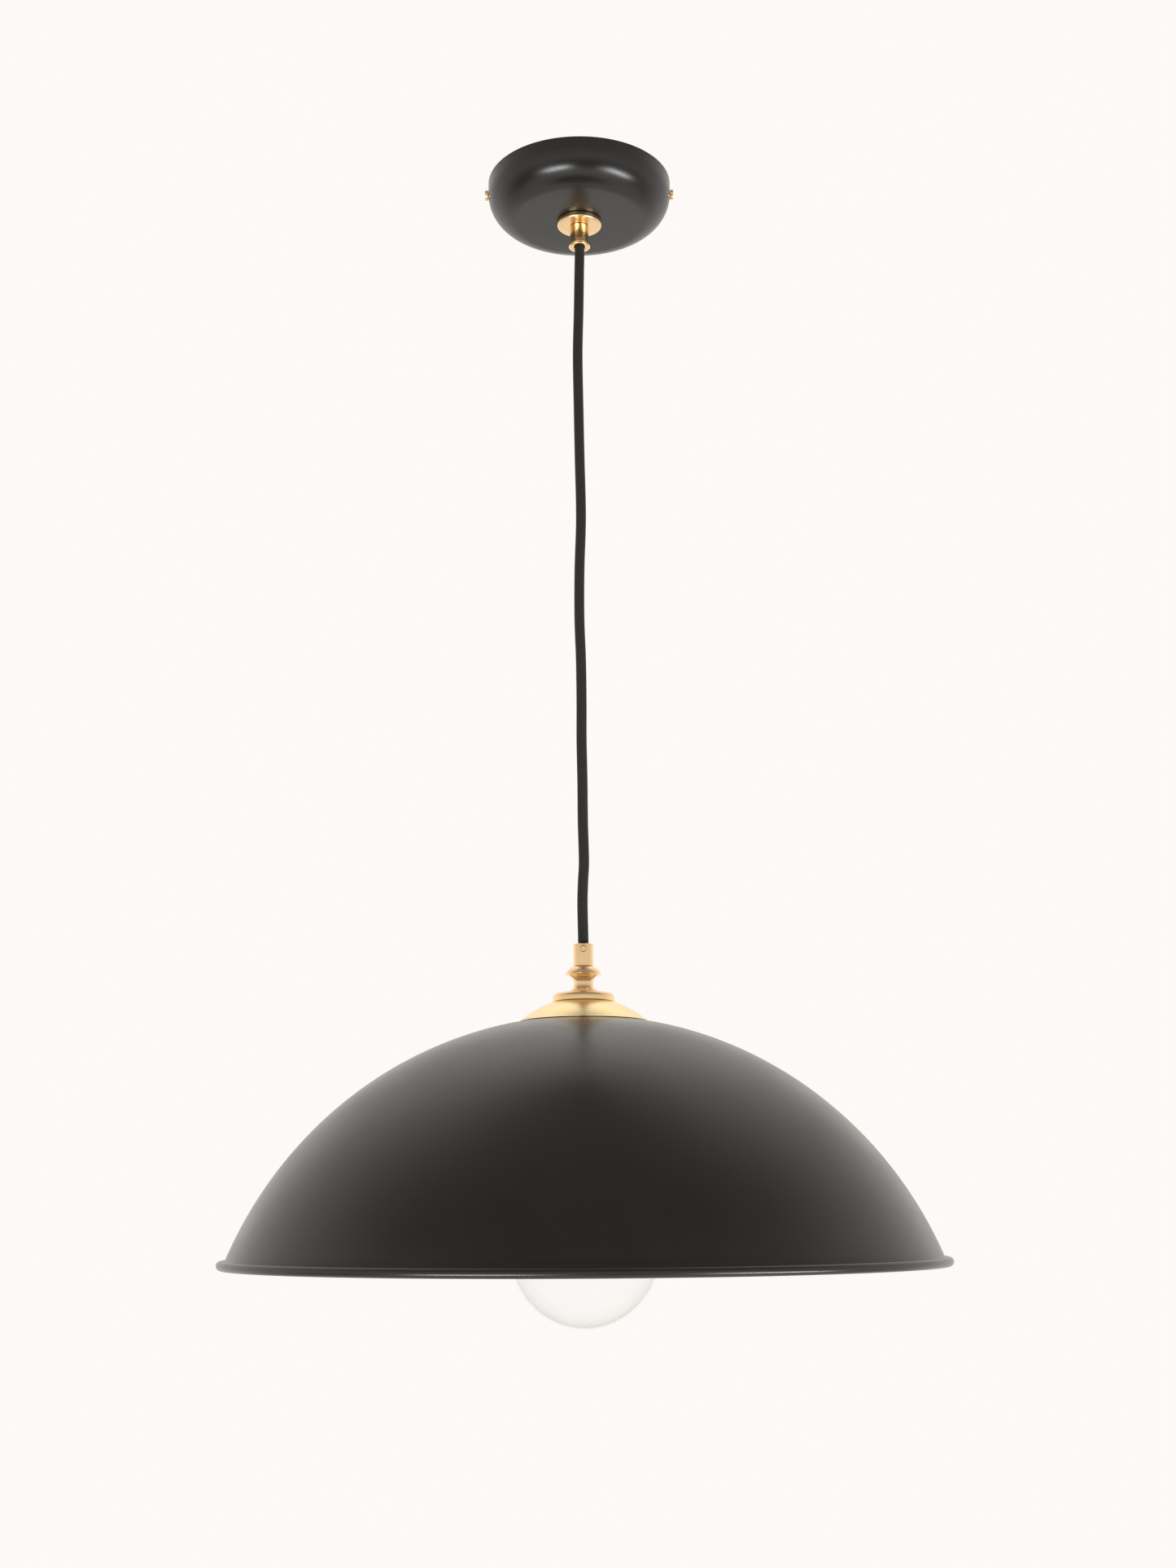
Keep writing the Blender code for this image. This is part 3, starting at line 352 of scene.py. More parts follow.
def porcelain(name):
    """Glazed porcelain: glossy, with a soft waviness in the glaze."""
    made = Nodes(name)
    made.vary_colour(made.noise(90.0, 3.0), (0.80, 0.77, 0.70), (0.72, 0.69, 0.62))
    made.vary_roughness(made.noise(300.0), 0.12, 0.24)
    made.bump(made.noise(160.0, 2.0), 0.12, 0.0002)
    made.shader.inputs["Coat Weight"].default_value = 0.4
    made.shader.inputs["Coat Roughness"].default_value = 0.05
    return made.material


def clear_glass(name):
    """Blown glass with faint ripples."""
    made = Nodes(name, (0.985, 0.99, 0.985), 0.0)
    made.shader.inputs["Transmission Weight"].default_value = 1.0
    made.shader.inputs["IOR"].default_value = 1.18
    made.vary_colour(made.noise(14.0, 2.0), (0.995, 0.998, 0.995), (0.985, 0.992, 0.988))
    made.vary_roughness(made.noise(30.0, 2.0), 0.0, 0.008)
    made.bump(made.noise(9.0, 0.0), 0.02, 0.0008)
    return made.material


def black_glass(name):
    """The glossy insulator round the bulb's tip contact."""
    made = Nodes(name)
    made.vary_colour(made.noise(200.0), (0.012, 0.012, 0.014), (0.022, 0.021, 0.022))
    made.vary_roughness(made.noise(420.0), 0.08, 0.2)
    made.bump(made.noise(500.0, 2.0), 0.1, 0.00008)
    return made.material


MAKERS = {
    "black_paint": black_paint,
    "polished_brass": polished_brass,
    "satin_brass": satin_brass,
    "zinc_steel": lambda name: plated(name, (0.60, 0.61, 0.62), 0.26, 0.42),
    "nickel": lambda name: plated(name, (0.70, 0.67, 0.62), 0.18, 0.32),
    "tungsten": lambda name: plated(name, (0.26, 0.25, 0.24), 0.35, 0.5),
    "black_fabric": fabric,
    "white_nylon": lambda name: plastic(name, (0.78, 0.78, 0.75), (0.70, 0.70, 0.66), 0.38, 0.52),
    "brown_pvc": lambda name: plastic(name, (0.16, 0.070, 0.032), (0.12, 0.052, 0.025), 0.4, 0.55),
    "blue_pvc": lambda name: plastic(name, (0.025, 0.11, 0.40), (0.020, 0.085, 0.32), 0.4, 0.55),
    "green_pvc": lambda name: plastic(name, (0.09, 0.32, 0.05), (0.07, 0.26, 0.04), 0.4, 0.55),
    "porcelain": porcelain,
    "clear_glass": clear_glass,
    "black_glass": black_glass,
}
MATERIALS = {}


def material(slot):
    """A slot's material, made when it is first asked for."""
    if slot not in MATERIALS:
        MATERIALS[slot] = MAKERS[slot]("look_" + slot)
    return MATERIALS[slot]


# ------------------------------------------------------------------ outlines
# An outline is a list of (radius, height) points. Angles are in degrees from the outward direction.

def oval(centre, reach, start, end, steps):
    """Points on an ellipse whose half axes are reach."""
    angles = [math.radians(start + (end - start) * i / steps) for i in range(steps + 1)]
    return [(centre[0] + reach[0] * math.cos(a), centre[1] + reach[1] * math.sin(a)) for a in angles]


def arc(centre, radius, start, end, steps):
    """Points on a circle."""
    return oval(centre, (radius, radius), start, end, steps)


def bowed(start, end, bow, steps):
    """Points on a shallow arc from start to end that stands off its chord by bow."""
    start, end = Vector(start), Vector(end)
    chord = end - start
    side = Vector((-chord.y, chord.x)).normalized()
    fractions = [i / steps for i in range(steps + 1)]
    return [tuple(start + chord * t + side * bow * 4 * t * (1 - t)) for t in fractions]


def eased(corners, reach, steps=3):
    """An outline with each corner rounded off over a short reach, open at its ends."""
    points = [tuple(corners[0])]
    for before, corner, after in zip(corners, corners[1:], corners[2:]):
        before, corner, after = Vector(before), Vector(corner), Vector(after)
        back = before - corner
        on = after - corner
        size = min(reach, back.length * 0.45, on.length * 0.45)
        first = corner + back.normalized() * size
        last = corner + on.normalized() * size
        for i in range(steps + 1):
            t = i / steps
            points.append(tuple(first * (1 - t) ** 2 + corner * 2 * t * (1 - t) + last * t ** 2))
    return points + [tuple(corners[-1])]


# ------------------------------------------------------------------ meshes

def finish_mesh(name, verts, faces, sharp):
    """A linked piece with merged points, outward faces and smooth shading up to a sharp angle."""
    mesh = bpy.data.meshes.new(name)
    mesh.from_pydata([tuple(v) for v in verts], [], faces)
    form = bmesh.new()
    form.from_mesh(mesh)
    bmesh.ops.remove_doubles(form, verts=form.verts, dist=1e-7)
    bmesh.ops.recalc_face_normals(form, faces=form.faces)
    form.to_mesh(mesh)
    form.free()
    mesh.shade_smooth()
    mesh.set_sharp_from_angle(angle=math.radians(sharp))
    return add_object(name, mesh)


def add_object(name, data):
    item = bpy.data.objects.new(name, data)
    bpy.context.scene.collection.objects.link(item)
    return item


def turned(name, outline, sides, base=0.0, wave=None, sharp=SHARP_ANGLE):
    """A piece turned about Z from a closed outline, or one whose ends lie on the axis.

    Heights count from base. wave(angle, radius, height) may give a new radius, for threads and nuts.
    """
    closed = outline[0][0] > 0 or outline[-1][0] > 0
    count = len(outline)
    verts = []
    for side in range(sides):
        angle = 2 * math.pi * side / sides
        for radius, height in outline:
            reach = wave(angle, radius, height) if wave and radius > 0 else radius
            verts.append((reach * math.cos(angle), reach * math.sin(angle), base + height))
    faces = []
    for side in range(sides):
        after = (side + 1) % sides
        for i in range(count if closed else count - 1):
            j = (i + 1) % count
            face = [side * count + i, after * count + i, after * count + j, side * count + j]
            if outline[i][0] <= 0:
                face = [face[0], face[2], face[3]]
            elif outline[j][0] <= 0:
                face = face[:3]
            faces.append(face)
    return finish_mesh(name, verts, faces, sharp)


def tube_faces(rings, sides):
    """Wall faces of a tube whose points come ring by ring."""
    faces = []
    for ring in range(rings):
        start = ring * sides
        for step in range(sides):
            after = (step + 1) % sides
            faces.append([start + step, start + after, start + sides + after, start + sides + step])
    return faces


def sweep(name, path, radius, sides=12):
    """A round bar with closed ends along a path."""
    path = [Vector(point) for point in path]
    verts, side_axis = [], None
    for i, point in enumerate(path):
        along = (path[min(i + 1, len(path) - 1)] - path[max(i - 1, 0)]).normalized()
        if side_axis is None:
            side_axis = along.orthogonal().normalized()
        side_axis = (side_axis - along * side_axis.dot(along)).normalized()
        other = along.cross(side_axis)
        for step in range(sides):
            angle = 2 * math.pi * step / sides
            verts.append(point + radius * (math.cos(angle) * side_axis + math.sin(angle) * other))
    ends = [list(range(sides))[::-1], [len(verts) - sides + k for k in range(sides)]]
    return finish_mesh(name, verts, ends + tube_faces(len(path) - 1, sides), 50)


def smooth_path(points, samples):
    """Points along a Catmull-Rom curve."""
    points = [Vector(point) for point in points]
    padded = [points[0] * 2 - points[1]] + points + [points[-1] * 2 - points[-2]]
    path = []
    for before, start, end, after in zip(padded, padded[1:], padded[2:], padded[3:]):
        for i in range(samples):
            t = i / samples
            linear = (end - before) * t
            square = (before * 2 - start * 5 + end * 4 - after) * t ** 2
            cube = (start * 3 - before - end * 3 + after) * t ** 3
            path.append(start + (linear + square + cube) / 2)
    return path + [points[-1]]


def set_down(item, location, direction):
    """Move a piece that was made along Z so that its top points in a direction, in its mesh."""
    turn = Vector(direction).to_track_quat("Z", "Y").to_matrix().to_4x4()
    item.data.transform(Matrix.Translation(location) @ turn)
    return item


def slab(centre, size):
    """A rectangular cutter."""
    form = bmesh.new()
    bmesh.ops.create_cube(form, size=1, matrix=Matrix.Translation(centre) @ Matrix.Diagonal((*size, 1)))
    mesh = bpy.data.meshes.new("cutter")
    form.to_mesh(mesh)
    form.free()
    return add_object("cutter", mesh)


def rod(radius, length, location, direction, sides):
    """A round cutter."""
    half = length / 2
    bar = turned("cutter", [(0, -half), (radius, -half), (radius, half), (0, half)], sides)
    return set_down(bar, location, direction)


def cut(item, cutter):
    """Cut one mesh out of another for good."""
    modifier = item.modifiers.new("cut", "BOOLEAN")
    modifier.operation = "DIFFERENCE"
    modifier.solver = "EXACT"
    modifier.object = cutter
    bpy.context.view_layer.update()
    evaluated = item.evaluated_get(bpy.context.evaluated_depsgraph_get())
    mesh = bpy.data.meshes.new_from_object(evaluated)
    item.modifiers.clear()
    item.data = mesh
    bpy.data.objects.remove(cutter, do_unlink=True)
    mesh.shade_smooth()
    mesh.set_sharp_from_angle(angle=math.radians(SHARP_ANGLE))
    return item


def dress(item, node):
    """Give a piece the body and the finish of the CAD node that it stands for."""
    slot = SLOTS[node]
    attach(item, BODY_OF[node])
    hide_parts(node)
    item.data.materials.append(material(slot))
    return item


# ------------------------------------------------------------------ threads, nuts and screws

def thread_wave(lowest, highest=math.inf):
    """Radius of a fine right-handed thread on the outside of an M10 part between two heights."""
    def wave(angle, radius, z):
        if not (M10_RADIUS - 1e-6 <= radius <= M10_RADIUS + 1e-6 and lowest < z < highest):
            return radius
        phase = (z / M10_PITCH - angle / (2 * math.pi)) % 1
        return radius - M10_THREAD_DEPTH * abs(2 * phase - 1)
    return wave


def lamp_thread(angle, z):
    """How deep into the bulb's rolled thread a point is: 0 at the crest, 1 at the root."""
    return 0.5 - 0.5 * math.cos(2 * math.pi * (z / LAMP_THREAD_PITCH - angle / (2 * math.pi)))


def ramp(value, start, end):
    """0 up to start, 1 from end on, and smooth in between."""
    t = min(1, max(0, (value - start) / (end - start)))
    return t * t * (3 - 2 * t)


def hex_wave(across_flats, bottom, top):
    """A hexagon whose corners are chamfered off towards both faces."""
    def wave(angle, radius, z):
        if radius < across_flats / 2 - 1e-6:
            return radius
        hexagon = across_flats / 2 / math.cos(angle % math.radians(60) - math.radians(30))
        cone = across_flats / 2 * NUT_FACE_SHARE + NUT_CHAMFER_SLOPE * min(z - bottom, top - z)
        return min(hexagon, cone)
    return wave


def add_nut(node, base):
    """An M10 locknut."""
    low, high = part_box(node)
    bottom, top = low.z - base, high.z - base
    corner = NUT_FLATS / 2
    rings = 12
    rise = (top - bottom) / rings
    outline = [(M10_HOLE + EDGE, bottom), (corner, bottom)]
    outline += [(corner, bottom + rise * i) for i in range(1, rings)]
    outline += [(corner, top), (M10_HOLE + EDGE, top), (M10_HOLE, top - EDGE), (M10_HOLE, bottom + EDGE)]
    dress(turned(node + "_fine", outline, 144, base, hex_wave(NUT_FLATS, bottom, top)), node)


def slot_across(screw, head, height):
    """Cut a screwdriver slot into a screw's top."""
    return cut(screw, slab((0, 0, height), (head * 3, SCREW_SLOT_WIDTH, 2 * SCREW_SLOT_DEPTH)))


def add_side_screw(node, side):
    """A cheese-head screw in the rose's wall, its slotted head slightly domed."""
    low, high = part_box(node)
    head_face = high.x if side > 0 else -low.x
    shank, length = SIDE_SCREW_SHANK, SIDE_SCREW_LENGTH
    head, height = SIDE_SCREW_HEAD, SIDE_SCREW_HEAD_HEIGHT
    crown = bowed((head - 0.00035, height - 0.00035), (0, height), 0.00012, 8)
    outline = [(0, -length), (shank - 0.0004, -length), (shank, 0.0004 - length), (shank, 0)]
    outline += [(head - 0.0002, 0), (head, 0.0002), (head, height - 0.0008)]
    outline += [(head - 0.00008, height - 0.00052)] + crown
    screw = slot_across(turned(node + "_fine", outline, 64), head, height)
    set_down(screw, (side * (head_face - height), 0, SIDE_SCREW_Z), (side, 0, 0))
    dress(screw, node)


def add_grub_screw(node):
    """A slotted grub screw that clamps the flex, its slot facing the front."""
    low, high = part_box(node)
    middle = (low + high) / 2
    length = high.y - low.y
    radius = high.x
    outline = [(0, -length), (radius - 0.0003, -length), (radius, 0.0003 - length)]
    outline += [(radius, -0.0002), (radius - 0.0002, 0), (0, 0)]
    screw = slot_across(turned(node + "_fine", outline, 64), radius, 0)
    dress(set_down(screw, (0, low.y, middle.z), (0, -1, 0)), node)


def cut_grub_hole(grip, barrel_radius, height):
    """The hole in the front of a cord grip's barrel that its grub screw sits in."""
    cut(grip, rod(GRUB_HOLE, 0.006, (0, -barrel_radius, height), (0, 1, 0), 40))


# ------------------------------------------------------------------ flex

def flex_point(z):
    """The flex's centre at height z, on a smooth curve through FLEX_ROUTE."""
    route = FLEX_ROUTE
    index = sum(1 for _, height in route[1:-1] if height >= z)
    slopes = []
    for i in (index, index + 1):
        low, high = max(i - 1, 0), min(i + 1, len(route) - 1)
        slopes.append((route[high][0] - route[low][0]) / (route[high][1] - route[low][1]))
    (x_start, z_start), (x_end, z_end) = route[index], route[index + 1]
    span = z_end - z_start
    t = (z - z_start) / span
    x = (x_start * (2 * t ** 3 - 3 * t ** 2 + 1) + x_end * (3 * t ** 2 - 2 * t ** 3)
         + span * (slopes[0] * (t ** 3 - 2 * t ** 2 + t) + slopes[1] * (t ** 3 - t ** 2)))
    return Vector((x, 0, z))


def braid_height(angle, z):
    """Height of the braid's surface, 0 to 1: plain weave, one yarn over and one under."""
    around = YARNS * angle / (2 * math.pi)
    along = z / YARN_LENGTH
    one, other = around + along, around - along
    over = (math.floor(one) + math.floor(other)) % 2 == 0
    first, second = math.sin(math.pi * (one % 1)), math.sin(math.pi * (other % 1))
    if over:
        return first ** YARN_ACROSS * second ** YARN_ALONG
    return second ** YARN_ACROSS * first ** YARN_ALONG


def flex_piece(name, top, bottom, nodes):
    """A braided stretch of the flex between two heights, in place of the CAD nodes that it covers."""
    rings = round((top - bottom) / FLEX_RING_STEP)
    heights = [top + (bottom - top) * i / rings for i in range(rings + 1)]
    verts = []
    for z in heights:
        centre = flex_point(z)
        for side in range(FLEX_SIDES):
            angle = 2 * math.pi * side / FLEX_SIDES
            radius = FLEX_RADIUS + YARN_SWELL - YARN_HEIGHT * (1 - braid_height(angle, z))
            verts.append((centre.x + radius * math.cos(angle), centre.y + radius * math.sin(angle), z))
    first_end = list(range(FLEX_SIDES))[::-1]
    last_end = [rings * FLEX_SIDES + side for side in range(FLEX_SIDES)]
    item = finish_mesh(name, verts, [first_end] + tube_faces(rings, FLEX_SIDES) + [last_end], 60)
    item.data.materials.append(material("black_fabric"))
    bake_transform(item)
    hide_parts(*nodes)


def add_flex():
    """Five stretches, which meet where both neighbours are wholly on one body."""
    upper, upper_front = JOINT_PLACES["swing_side"].z, JOINT_PLACES["swing_front"].z
    twist = JOINT_PLACES["flex_twist"].z
    lower_front, lower = JOINT_PLACES["tilt_front"].z, JOINT_PLACES["tilt_side"].z
    first = (upper + upper_front) / 2
    second = twist + MIDDLE_HALF
    third = twist - MIDDLE_HALF
    fourth = (lower + lower_front) / 2
    flex_piece("flex_at_rose", FLEX_TOP, first,
               ["flex_rose_end"])
    flex_piece("flex_upper_bend", first, second,
               ["flex_bend_upper"])
    flex_piece("flex_middle", second, third,
               ["flex_upper", "flex_lower"])
    flex_piece("flex_lower_bend", third, fourth,
               ["flex_bend_lower"])
    flex_piece("flex_at_lamp", fourth, FLEX_BOTTOM,
               ["flex_lamp_end"])


# ------------------------------------------------------------------ ceiling rose

def add_rose_cup():
    """The spun cup, with an open slot in its wall for each side screw."""
    top = ROSE_TOP
    floor = ROSE_BOTTOM + ROSE_WALL
    inner = ROSE_RADIUS - ROSE_WALL
    centre = (ROSE_RADIUS - ROSE_CORNER, ROSE_BOTTOM + ROSE_CORNER)
    outline = [(ROSE_RADIUS - EDGE, top), (ROSE_RADIUS, top - EDGE)]
    outline += arc(centre, ROSE_CORNER, 0, -90, 28)
    outline += [(0.0300, ROSE_BOTTOM), (0.0120, ROSE_BOTTOM), (M10_HOLE + EDGE, ROSE_BOTTOM)]
    outline += [(M10_HOLE, ROSE_BOTTOM + EDGE), (M10_HOLE, floor), (0.0120, floor), (0.0300, floor)]
    outline += arc(centre, ROSE_CORNER - ROSE_WALL, -90, 0, 20)
    outline += [(inner, top - EDGE), (inner + EDGE, top)]
    cup = turned("rose_cup_spun", outline, 160)
    through, above = 0.006, 0.002
    for side in (-1, 1):
        wall = side * ROSE_RADIUS
        cut(cup, rod(ROSE_SLOT_HALF_WIDTH, through, (wall, 0, SIDE_SCREW_Z), (1, 0, 0), 32))
        middle = (wall, 0, SIDE_SCREW_Z / 2 + above / 2)
        cut(cup, slab(middle, (through, 2 * ROSE_SLOT_HALF_WIDTH, above - SIDE_SCREW_Z)))
    dress(cup, "rose_cup")


def add_rose_flange():
    """The brass disc under the cup, flat below, with a rounded lower edge."""
    low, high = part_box("rose_flange")
    reach, bottom, top = high.x, low.z, high.z
    lower_edge = arc((reach - FLANGE_CORNER, bottom + FLANGE_CORNER), FLANGE_CORNER, -90, 0, 10)
    outline = [(M10_HOLE, top), (M10_HOLE, bottom), (0.0100, bottom)] + lower_edge
    outline += [(reach, top - EDGE), (reach - EDGE, top)]
    dress(turned("rose_flange_turned", outline, 96), "rose_flange")


def add_rose_grip():
    """Cord grip under the rose: threaded shank, barrel and a rounded lip."""
    low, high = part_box("rose_cord_grip")
    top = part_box("rose_flange")[0].z - GAP
    radius, lip = ROSE_GRIP_RADIUS, high.x
    mouth = low.z
    barrel = [
        (radius - EDGE, top), (radius, top - EDGE), (radius, mouth + 0.0023),
        (radius + 0.0003, mouth + 0.0018), (lip - 0.0003, mouth + 0.0016),
        (lip, mouth + 0.0012), (lip, mouth + 0.0005), (lip - 0.0005, mouth),
        (FLEX_BORE + 0.0012, mouth), (FLEX_BORE + 0.0004, mouth + 0.0004), (FLEX_BORE, mouth + 0.0012),
    ]
    outline = eased(barrel, 0.0002)
    outline += [(FLEX_BORE, high.z), (M10_RADIUS - 0.0002, high.z)]
    rings = round((high.z - top) / M10_RING_STEP)
    outline += [(M10_RADIUS, high.z + (top - high.z) * i / rings) for i in range(1, rings)]
    outline += [(M10_RADIUS - 0.0002, top)]
    grip = turned("rose_cord_grip_turned", outline, 72, wave=thread_wave(top - 0.0001))
    low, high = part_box("rose_grub_screw")
    cut_grub_hole(grip, radius, low.z / 2 + high.z / 2)
    dress(grip, "rose_cord_grip")
    add_grub_screw("rose_grub_screw")


# ------------------------------------------------------------------ shade and its brass

def dome_angle(radius, sphere):
    """The angle at which a sphere about the axis has this radius."""
    return math.degrees(math.acos(radius / sphere))


def add_shade():
    """The spun dome: a thin wall, a faint crease where its edge is rolled, and the bead."""
    centre = (0, DOME_CENTRE)
    inner_radius = DOME_RADIUS - SHADE_WALL
    hole_outside = dome_angle(M10_HOLE, DOME_RADIUS)
    hole_inside = dome_angle(M10_HOLE, inner_radius)
    end_outside = dome_angle(DOME_END_OUTSIDE, DOME_RADIUS)
    end_inside = dome_angle(DOME_END_INSIDE, inner_radius)
    outline = arc(centre, DOME_RADIUS, hole_outside, end_outside, 72)
    outline += arc((SHADE_RADIUS - BEAD_RADIUS, 0), BEAD_RADIUS, BEAD_START, BEAD_END, 36)
    outline += arc(centre, inner_radius, end_inside, hole_inside, 60)
    dress(turned("shade_spun", outline, 240, RIM_Z), "shade")


def add_cap():
    """The shallow spun cap, with an eased edge."""
    low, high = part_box("brass_cap")
    reach, bottom, top = high.x, low.z - RIM_Z, high.z - RIM_Z
    sphere, wall = CAP_SPHERE, CAP_WALL
    centre = bottom - math.sqrt(sphere ** 2 - reach ** 2)
    outer_start = math.degrees(math.asin((bottom - centre) / sphere))
    outer_end = math.degrees(math.asin((top - centre) / sphere))
    inner = sphere - wall
    inner_start = math.degrees(math.asin((top - wall - centre) / inner))
    inner_end = math.degrees(math.asin((bottom - centre) / inner))
    dome = arc((0, centre), sphere, outer_start, outer_end, 32)
    under = arc((0, centre), inner, inner_start, inner_end, 24)
    edge = [(reach - EDGE, bottom), (reach - 0.00005, bottom + 0.0002)]
    outline = edge + dome[1:] + [(M10_HOLE, top), (M10_HOLE, top - wall)] + under
    dress(turned("brass_cap_spun", outline, 160, RIM_Z), "brass_cap")


def add_disc():
    """The thick turned disc: a round upper edge, a crisp lower one."""
    low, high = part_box("disc_washer")
    reach, bottom, top = high.x, low.z - RIM_Z, high.z - RIM_Z
    upper, lower = 0.0034, 0.0008
    outline = [(M10_HOLE, bottom)]
    outline += arc((reach - lower, bottom + lower), lower, -90, 0, 8)
    outline += arc((reach - upper, top - 0.0006 - upper), upper, 0, 80, 18)
    outline += [(0.0130, top - 0.0002), (0.0098, top), (M10_HOLE, top)]
    dress(turned("disc_turned", outline, 128, RIM_Z), "disc_washer")


def add_coupler():
    """Flared foot, waist, sharp collar and a sloping shoulder, all turned from bar."""
    low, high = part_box("turned_coupler")
    bottom, top = low.z - RIM_Z, high.z - RIM_Z
    foot, waist, collar = COUPLER_FOOT, COUPLER_WAIST, COUPLER_COLLAR
    neck, tip = COUPLER_WAIST_HEIGHT, COUPLER_COLLAR_HEIGHT
    foot_rise = 0.0006
    outline = [(M10_HOLE, bottom), (foot - 0.0001, bottom), (foot, bottom + 0.0001)]
    outline += oval((foot, neck), (foot - waist, neck - bottom - foot_rise), 270, 180, 16)
    outline += oval((collar, neck), (collar - waist, tip - neck), 180, 90, 16)[1:]
    outline += bowed((collar + 0.0001, tip + 0.0004), (COUPLER_SHOULDER, top), -0.0006, 14)
    outline += [(M10_HOLE, top)]
    dress(turned("coupler_turned", outline, 96, RIM_Z), "turned_coupler")


def add_lamp_grip():
    """Cord grip on the lamp, with a rounded top edge and a slotted grub screw."""
    low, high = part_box("lamp_cord_grip")
    radius = high.x
    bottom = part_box("turned_coupler")[1].z - RIM_Z + GAP
    top, shank_bottom = high.z - RIM_Z, low.z - RIM_Z
    round_edge = 0.0008
    outline = [(FLEX_BORE, shank_bottom), (M10_RADIUS, shank_bottom), (M10_RADIUS, bottom)]
    outline += [(radius - 0.0002, bottom), (radius, bottom + 0.0002)]
    outline += arc((radius - round_edge, top - round_edge), round_edge, 0, 90, 10)
    outline += [(FLEX_BORE + 0.0005, top), (FLEX_BORE + 0.00015, top - 0.00015), (FLEX_BORE, top - 0.0005)]
    grip = turned("lamp_cord_grip_turned", outline, 72, RIM_Z)
    low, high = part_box("lamp_grub_screw")
    cut_grub_hole(grip, radius, (low.z + high.z) / 2)
    dress(grip, "lamp_cord_grip")
    add_grub_screw("lamp_grub_screw")


def add_nipple():
    """The all-thread tube that clamps the shade and carries the lampholder."""
    low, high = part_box("threaded_nipple")
    bottom, top = low.z - RIM_Z, high.z - RIM_Z
    rings = round((top - bottom) / M10_RING_STEP)
    outline = [(FLEX_BORE, bottom), (M10_RADIUS - 0.0004, bottom)]
    outline += [(M10_RADIUS, bottom + (top - bottom) * i / rings) for i in range(1, rings)]
    outline += [(M10_RADIUS - 0.0004, top), (FLEX_BORE, top)]
    dress(turned("nipple_threaded", outline, 48, RIM_Z, thread_wave(bottom, top)), "threaded_nipple")


# ------------------------------------------------------------------ lampholder

def add_holder_cap():
    """The holder's upper half: a boss on a rounded cap, and a rolled rib at its lower edge."""
    low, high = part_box("holder_cap")
    reach, joint, boss_top = high.x, low.z - RIM_Z, high.z - RIM_Z
    corner, wall, boss, shoulder = HOLDER_CORNER, HOLDER_WALL, HOLDER_BOSS, HOLDER_SHOULDER
    centre = (reach - corner, shoulder - corner)
    outline = [(M10_HOLE, boss_top), (M10_HOLE, shoulder - wall)]
    outline += arc(centre, corner - wall, 90, 0, 16)
    outline += [(reach - wall, joint), (reach - 0.0002, joint), (reach, joint + 0.0002)]
    outline += [(reach, joint + 0.0022), (reach - 0.0004, joint + 0.0026), (reach - 0.0004, joint + 0.0040)]
    outline += arc(centre, corner, 4, 90, 20)
    outline += [(boss + 0.0005, shoulder), (boss, shoulder + 0.0005), (boss, boss_top - 0.0004)]
    outline += [(boss - 0.0004, boss_top)]
    dress(turned("holder_cap_spun", outline, 96, RIM_Z), "holder_cap")


def add_holder_skirt():
    """The holder's lower half: a spigot that enters the cap, a pressed groove and a turned-in mouth."""
    low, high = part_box("holder_skirt")
    mouth, top = low.z - RIM_Z, high.z - RIM_Z
    cap_low, cap_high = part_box("holder_cap")
    reach = cap_high.x
    wall_top = cap_low.z - RIM_Z - GAP
    inner = reach - HOLDER_WALL
    lip = SKIRT_LIP
    outline = [(SPIGOT_INNER, top), (SPIGOT_INNER, wall_top - 0.002), (inner, wall_top - 0.003)]
    outline += [(inner, mouth + 2 * lip), (inner - 0.0004, mouth + 1.5 * lip), (SKIRT_MOUTH, mouth + lip)]
    outline += [(SKIRT_MOUTH, mouth + 0.0002), (SKIRT_MOUTH + 0.0002, mouth)]
    outline += arc((reach - lip, mouth + lip), lip, -90, 0, 8)
    outline += [(reach, mouth + 0.0050), (reach - 0.0004, mouth + 0.0054), (reach - 0.0004, mouth + 0.0066)]
    outline += [(reach, mouth + 0.0070), (reach, wall_top - 0.0002), (reach - 0.0002, wall_top)]
    outline += [(inner - GAP, wall_top), (inner - GAP, top)]
    dress(turned("holder_skirt_spun", outline, 96, RIM_Z), "holder_skirt")


def add_screw_shell():
    """The rolled thread inside the holder."""
    low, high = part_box("holder_screw_shell")
    radius = high.x
    bottom, top = low.z - RIM_Z, high.z - RIM_Z
    rings = round((top - bottom) / LAMP_RING_STEP)
    heights = [bottom + (top - bottom) * i / rings for i in range(rings + 1)]
    outline = [(radius - SHEET, z) for z in heights] + [(radius, z) for z in reversed(heights)]

    def wave(angle, reach, z):
        begun = ramp(z, LAMP_THREAD_START, LAMP_THREAD_START + LAMP_THREAD_RUN_IN)
        return reach - LAMP_THREAD_DEPTH * lamp_thread(angle, z) * begun

    dress(turned("holder_screw_shell_rolled", outline, 96, RIM_Z, wave), "holder_screw_shell")


# ------------------------------------------------------------------ bulb

def add_globe():
    """The glass: a sphere drawn in to a straight neck, thin and even."""
    low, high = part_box("bulb_globe")
    sphere = high.x
    centre = low.z - RIM_Z + sphere
    neck_top = high.z - RIM_Z
    height = GLASS_SHOULDER_HEIGHT

    def side(inset):
        """One face of the glass, from its lowest point to the top of its neck."""
        neck = GLASS_NECK - inset
        globe = arc((0, centre), sphere - inset, -90, 52, 72)
        crease = bowed(globe[-1], (GLASS_SHOULDER - inset, height - 0.0012), -0.0035, 14)
        return globe + crease[1:] + [(neck + 0.0004, height - 0.0003), (neck, height), (neck, neck_top)]

    outline = [(max(radius, 0), z) for radius, z in side(0) + side(GLASS_WALL)[::-1]]
    outline[0] = (0, outline[0][1])
    outline[-1] = (0, outline[-1][1])
    dress(turned("bulb_globe_blown", outline, 144, RIM_Z, sharp=60), "bulb_globe")


